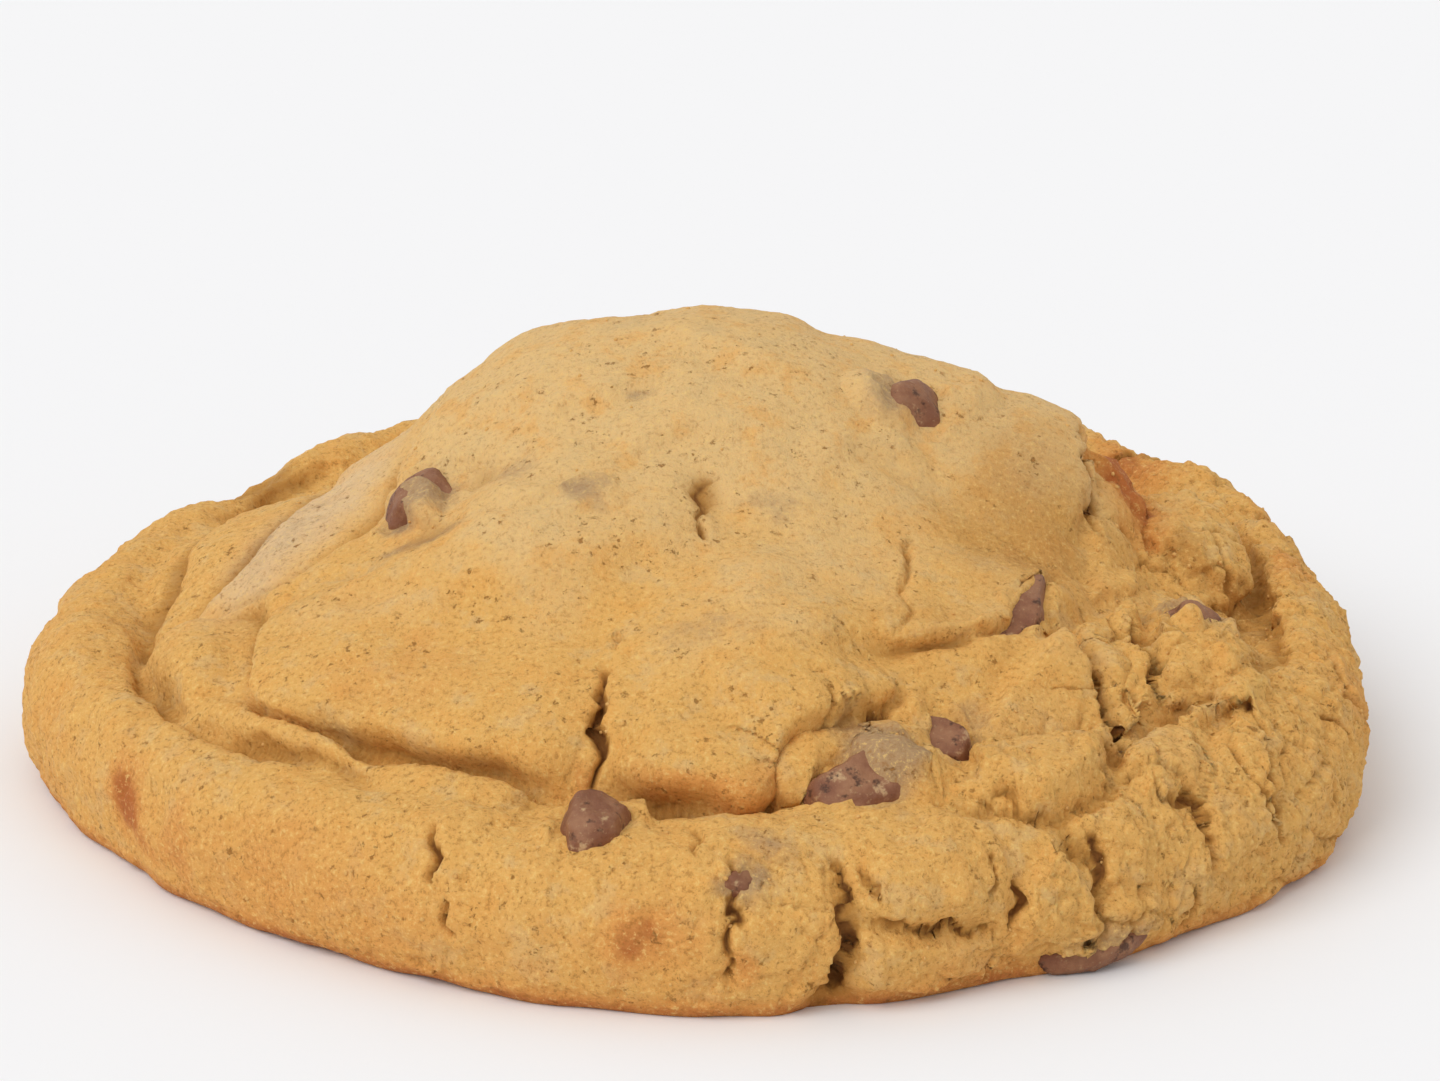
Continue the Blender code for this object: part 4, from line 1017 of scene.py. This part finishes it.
crumbLook = {
    "density": 0.12,                       # grains per square millimetre where the crust is broken
    "elsewhere": 0.1,                      # share of that on whole crust
    "smallest": 0.07, "largest": 0.22,     # radii in millimetres
    "lowest": 1.2,                         # no grains lower than this above the foot
    "lumpHeight": 0.35, "lumpsAcross": 1.7, "flatness": 0.8,    # a grain's form, at a radius of 1
    "anyTurn": 6.28,                       # radians
    "seed": 11,
    "brown": "#C48D48", "bright": "#E3B974", "patchSize": 1.6,
}


def crumbTree(grainObject, material):
    # grains scattered over the dough's skin, more of them where it is broken
    tree = bpy.data.node_groups.new("crumb_grains", "GeometryNodeTree")
    for name, kind in (("Geometry", "Geometry"), ("Density", "Float"), ("Smallest", "Float"),
                       ("Largest", "Float"), ("Seed", "Int")):
        tree.interface.new_socket(name, in_out="INPUT", socket_type="NodeSocket" + kind)
    tree.interface.new_socket("Geometry", in_out="OUTPUT", socket_type="NodeSocketGeometry")
    given = addNode(tree, "NodeGroupInput").outputs
    broken = addNode(tree, "GeometryNodeInputNamedAttribute", {"data_type": "FLOAT"}, {"Name": "broken"})
    least = crumbLook["elsewhere"]
    share = addNode(tree, "ShaderNodeMath", {"operation": "MULTIPLY_ADD"},
                    {0: broken.outputs[0], 1: 1.0 - least, 2: least})
    place = addNode(tree, "GeometryNodeInputPosition")
    high = addNode(tree, "ShaderNodeSeparateXYZ", None, {0: place.outputs[0]})
    above = addNode(tree, "ShaderNodeMath", {"operation": "GREATER_THAN"},
                    {0: high.outputs[2], 1: crumbLook["lowest"] * mm})
    density = given["Density"]
    for part in (share, above):
        density = addNode(tree, "ShaderNodeMath", {"operation": "MULTIPLY"},
                          {0: part.outputs[0], 1: density}).outputs[0]
    points = addNode(tree, "GeometryNodeDistributePointsOnFaces", {"distribute_method": "RANDOM"},
                     {"Mesh": given["Geometry"], "Density": density, "Seed": given["Seed"]})
    grain = addNode(tree, "GeometryNodeObjectInfo", None, {"Object": grainObject})
    turn = addNode(tree, "FunctionNodeRandomValue", {"data_type": "FLOAT_VECTOR"},
                   {"Max": (crumbLook["anyTurn"],) * 3, "Seed": given["Seed"]})
    size = addNode(tree, "FunctionNodeRandomValue", {"data_type": "FLOAT"},
                   {2: given["Smallest"], 3: given["Largest"], "Seed": given["Seed"]})
    placed = addNode(tree, "GeometryNodeInstanceOnPoints", None, {
        "Points": points.outputs["Points"], "Instance": grain.outputs["Geometry"],
        "Rotation": turn.outputs[0], "Scale": size.outputs[1]})
    real = addNode(tree, "GeometryNodeRealizeInstances", None, {"Geometry": placed.outputs[0]})
    coated = addNode(tree, "GeometryNodeSetMaterial", None,
                     {"Geometry": real.outputs[0], "Material": material})
    addNode(tree, "NodeGroupOutput", None, {0: coated.outputs[0]})
    return tree


def buildCrumbs(dough, material):
    # one lumpy grain, repeated at widths of about 0.15 to 0.45 mm
    look = crumbLook
    bm = bmesh.new()
    bmesh.ops.create_icosphere(bm, subdivisions=1, radius=1.0)
    for v in bm.verts:
        v.co *= 1.0 + look["lumpHeight"] * noise.noise(v.co * look["lumpsAcross"])
        v.co.z *= look["flatness"]
    grainMesh = bpy.data.meshes.new("grain")
    bm.to_mesh(grainMesh)
    bm.free()
    grain = placeMesh("grain", grainMesh)
    holder = placeMesh("crumb_grains", dough.data.copy())
    tree = crumbTree(grain, material)
    scatter = holder.modifiers.new("scatter", "NODES")
    scatter.node_group = tree
    values = {"Density": look["density"] / mm ** 2, "Smallest": look["smallest"] * mm,
              "Largest": look["largest"] * mm, "Seed": look["seed"]}
    for item in tree.interface.items_tree:
        if item.in_out == "INPUT" and item.name in values:
            scatter[item.identifier] = values[item.name]
    bpy.context.view_layer.update()
    seen = holder.evaluated_get(bpy.context.evaluated_depsgraph_get())
    mesh = bpy.data.meshes.new_from_object(seen)
    holder.modifiers.clear()
    holder.data = mesh
    mesh.shade_smooth()
    bpy.data.objects.remove(grain)
    return holder


def crumbMaterial():
    # Loose grains of the same dough, drier and brighter than the crust they sit on.
    material, tree = newMaterial("dry_dough_crumb")
    where = addNode(tree, "ShaderNodeTexCoord").outputs["Object"]
    look = crumbLook
    pattern = addNode(tree, "ShaderNodeTexNoise", None, {
        "Vector": where, "Scale": 1.0 / (look["patchSize"] * mm), "Detail": 2.0})
    base = addNode(tree, "ShaderNodeMix", {"data_type": "RGBA"}, {
        0: pattern.outputs["Fac"], 6: hexColor(look["brown"]), 7: hexColor(look["bright"])}).outputs[2]
    shader = addNode(tree, "ShaderNodeBsdfPrincipled", None, {
        "Base Color": base, "Roughness": 0.8, "IOR": 1.45, "Specular IOR Level": 0.25})
    addNode(tree, "ShaderNodeOutputMaterial", None, {"Surface": shader.outputs[0]})
    return material


# The camera stands where the photograph was taken from, 18.5 degrees above the level.
viewSetup = {"target": (2.2, 0.44, 18.0), "distance": 420.0, "elevation": 18.5,
             "pixelsPerMm": 12.85, "imageWidth": 1440, "sensor": 36.0}


def buildCamera():
    view = viewSetup
    data = bpy.data.cameras.new("camera")
    camera = bpy.data.objects.new("camera", data)
    bpy.context.scene.collection.objects.link(camera)
    tilt = math.radians(view["elevation"])
    back = Vector((0.0, -math.cos(tilt), math.sin(tilt)))
    camera.location = (Vector(view["target"]) + back * view["distance"]) * mm
    camera.rotation_euler = (-back).to_track_quat("-Z", "Y").to_euler()
    data.sensor_width = view["sensor"]
    data.lens = view["pixelsPerMm"] * view["distance"] / view["imageWidth"] * view["sensor"]
    data.clip_start = 0.01
    data.clip_end = 20.0
    bpy.context.scene.camera = camera


studio = {"sky": 0.76, "keyStrength": 1.2, "keySpread": 45.0, "keyFrom": (-0.52, -0.46, 0.72),
          "floorColor": "#F3F3F4", "floorHalf": 6.0}


def buildStudio():
    world = bpy.data.worlds.new("studio")
    bpy.context.scene.world = world
    world.use_nodes = True
    sky = world.node_tree.nodes["Background"]
    sky.inputs["Color"].default_value = (1.0, 1.0, 1.0, 1.0)
    sky.inputs["Strength"].default_value = studio["sky"]
    bpy.context.scene.view_settings.view_transform = "Standard"
    data = bpy.data.lights.new("key", "SUN")
    data.energy = studio["keyStrength"]
    data.angle = math.radians(studio["keySpread"])
    lamp = bpy.data.objects.new("key", data)
    bpy.context.scene.collection.objects.link(lamp)
    lamp.location = studio["keyFrom"]
    lamp.rotation_euler = (-Vector(lamp.location)).to_track_quat("-Z", "Y").to_euler()
    far = studio["floorHalf"]
    mesh = bpy.data.meshes.new("floor")
    mesh.from_pydata([(-far, -far, 0), (far, -far, 0), (far, far, 0), (-far, far, 0)], [], [(0, 1, 2, 3)])
    material, tree = newMaterial("matt_white_board")
    shader = addNode(tree, "ShaderNodeBsdfPrincipled", None, {
        "Base Color": hexColor(studio["floorColor"]), "Roughness": 0.8, "Specular IOR Level": 0.2})
    addNode(tree, "ShaderNodeOutputMaterial", None, {"Surface": shader.outputs[0]})
    floor = placeMesh("floor", mesh, material)


crust = doughMaterial()
chocolate = chipMaterial()
looseCrumb = crumbMaterial()
print("materials ready")

dough = buildDough(crust)
print("dough:", len(dough.data.polygons), "faces")
made = [dough]
for index, (name, mapX, mapY, a, b, c, turn, lift) in enumerate(chips):
    place = chipFrame(mapX, mapY, turn, lift)
    made.append(buildChip(name + "_set", (a, b, c), place, index, chocolate))
print("chips:", len(chips))
crumbs = buildCrumbs(dough, looseCrumb)
made.append(crumbs)
print("crumbs:", len(crumbs.data.polygons), "faces")

# The dough is centred on the CAD dough's box, and everything on it moves with it.
low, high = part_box("dough")
points = np.array([v.co for v in dough.data.vertices])
shift = (np.array(low + high) - points.min(0) - points.max(0)) / 2
for obj in made:
    obj.data.transform(Matrix.Translation((shift[0], shift[1], 0.0)))
    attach(obj, "root")
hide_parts("dough")
for obj, row in zip(made[1:], chips):
    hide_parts(row[0])

buildCamera()
buildStudio()
print("camera and studio ready")
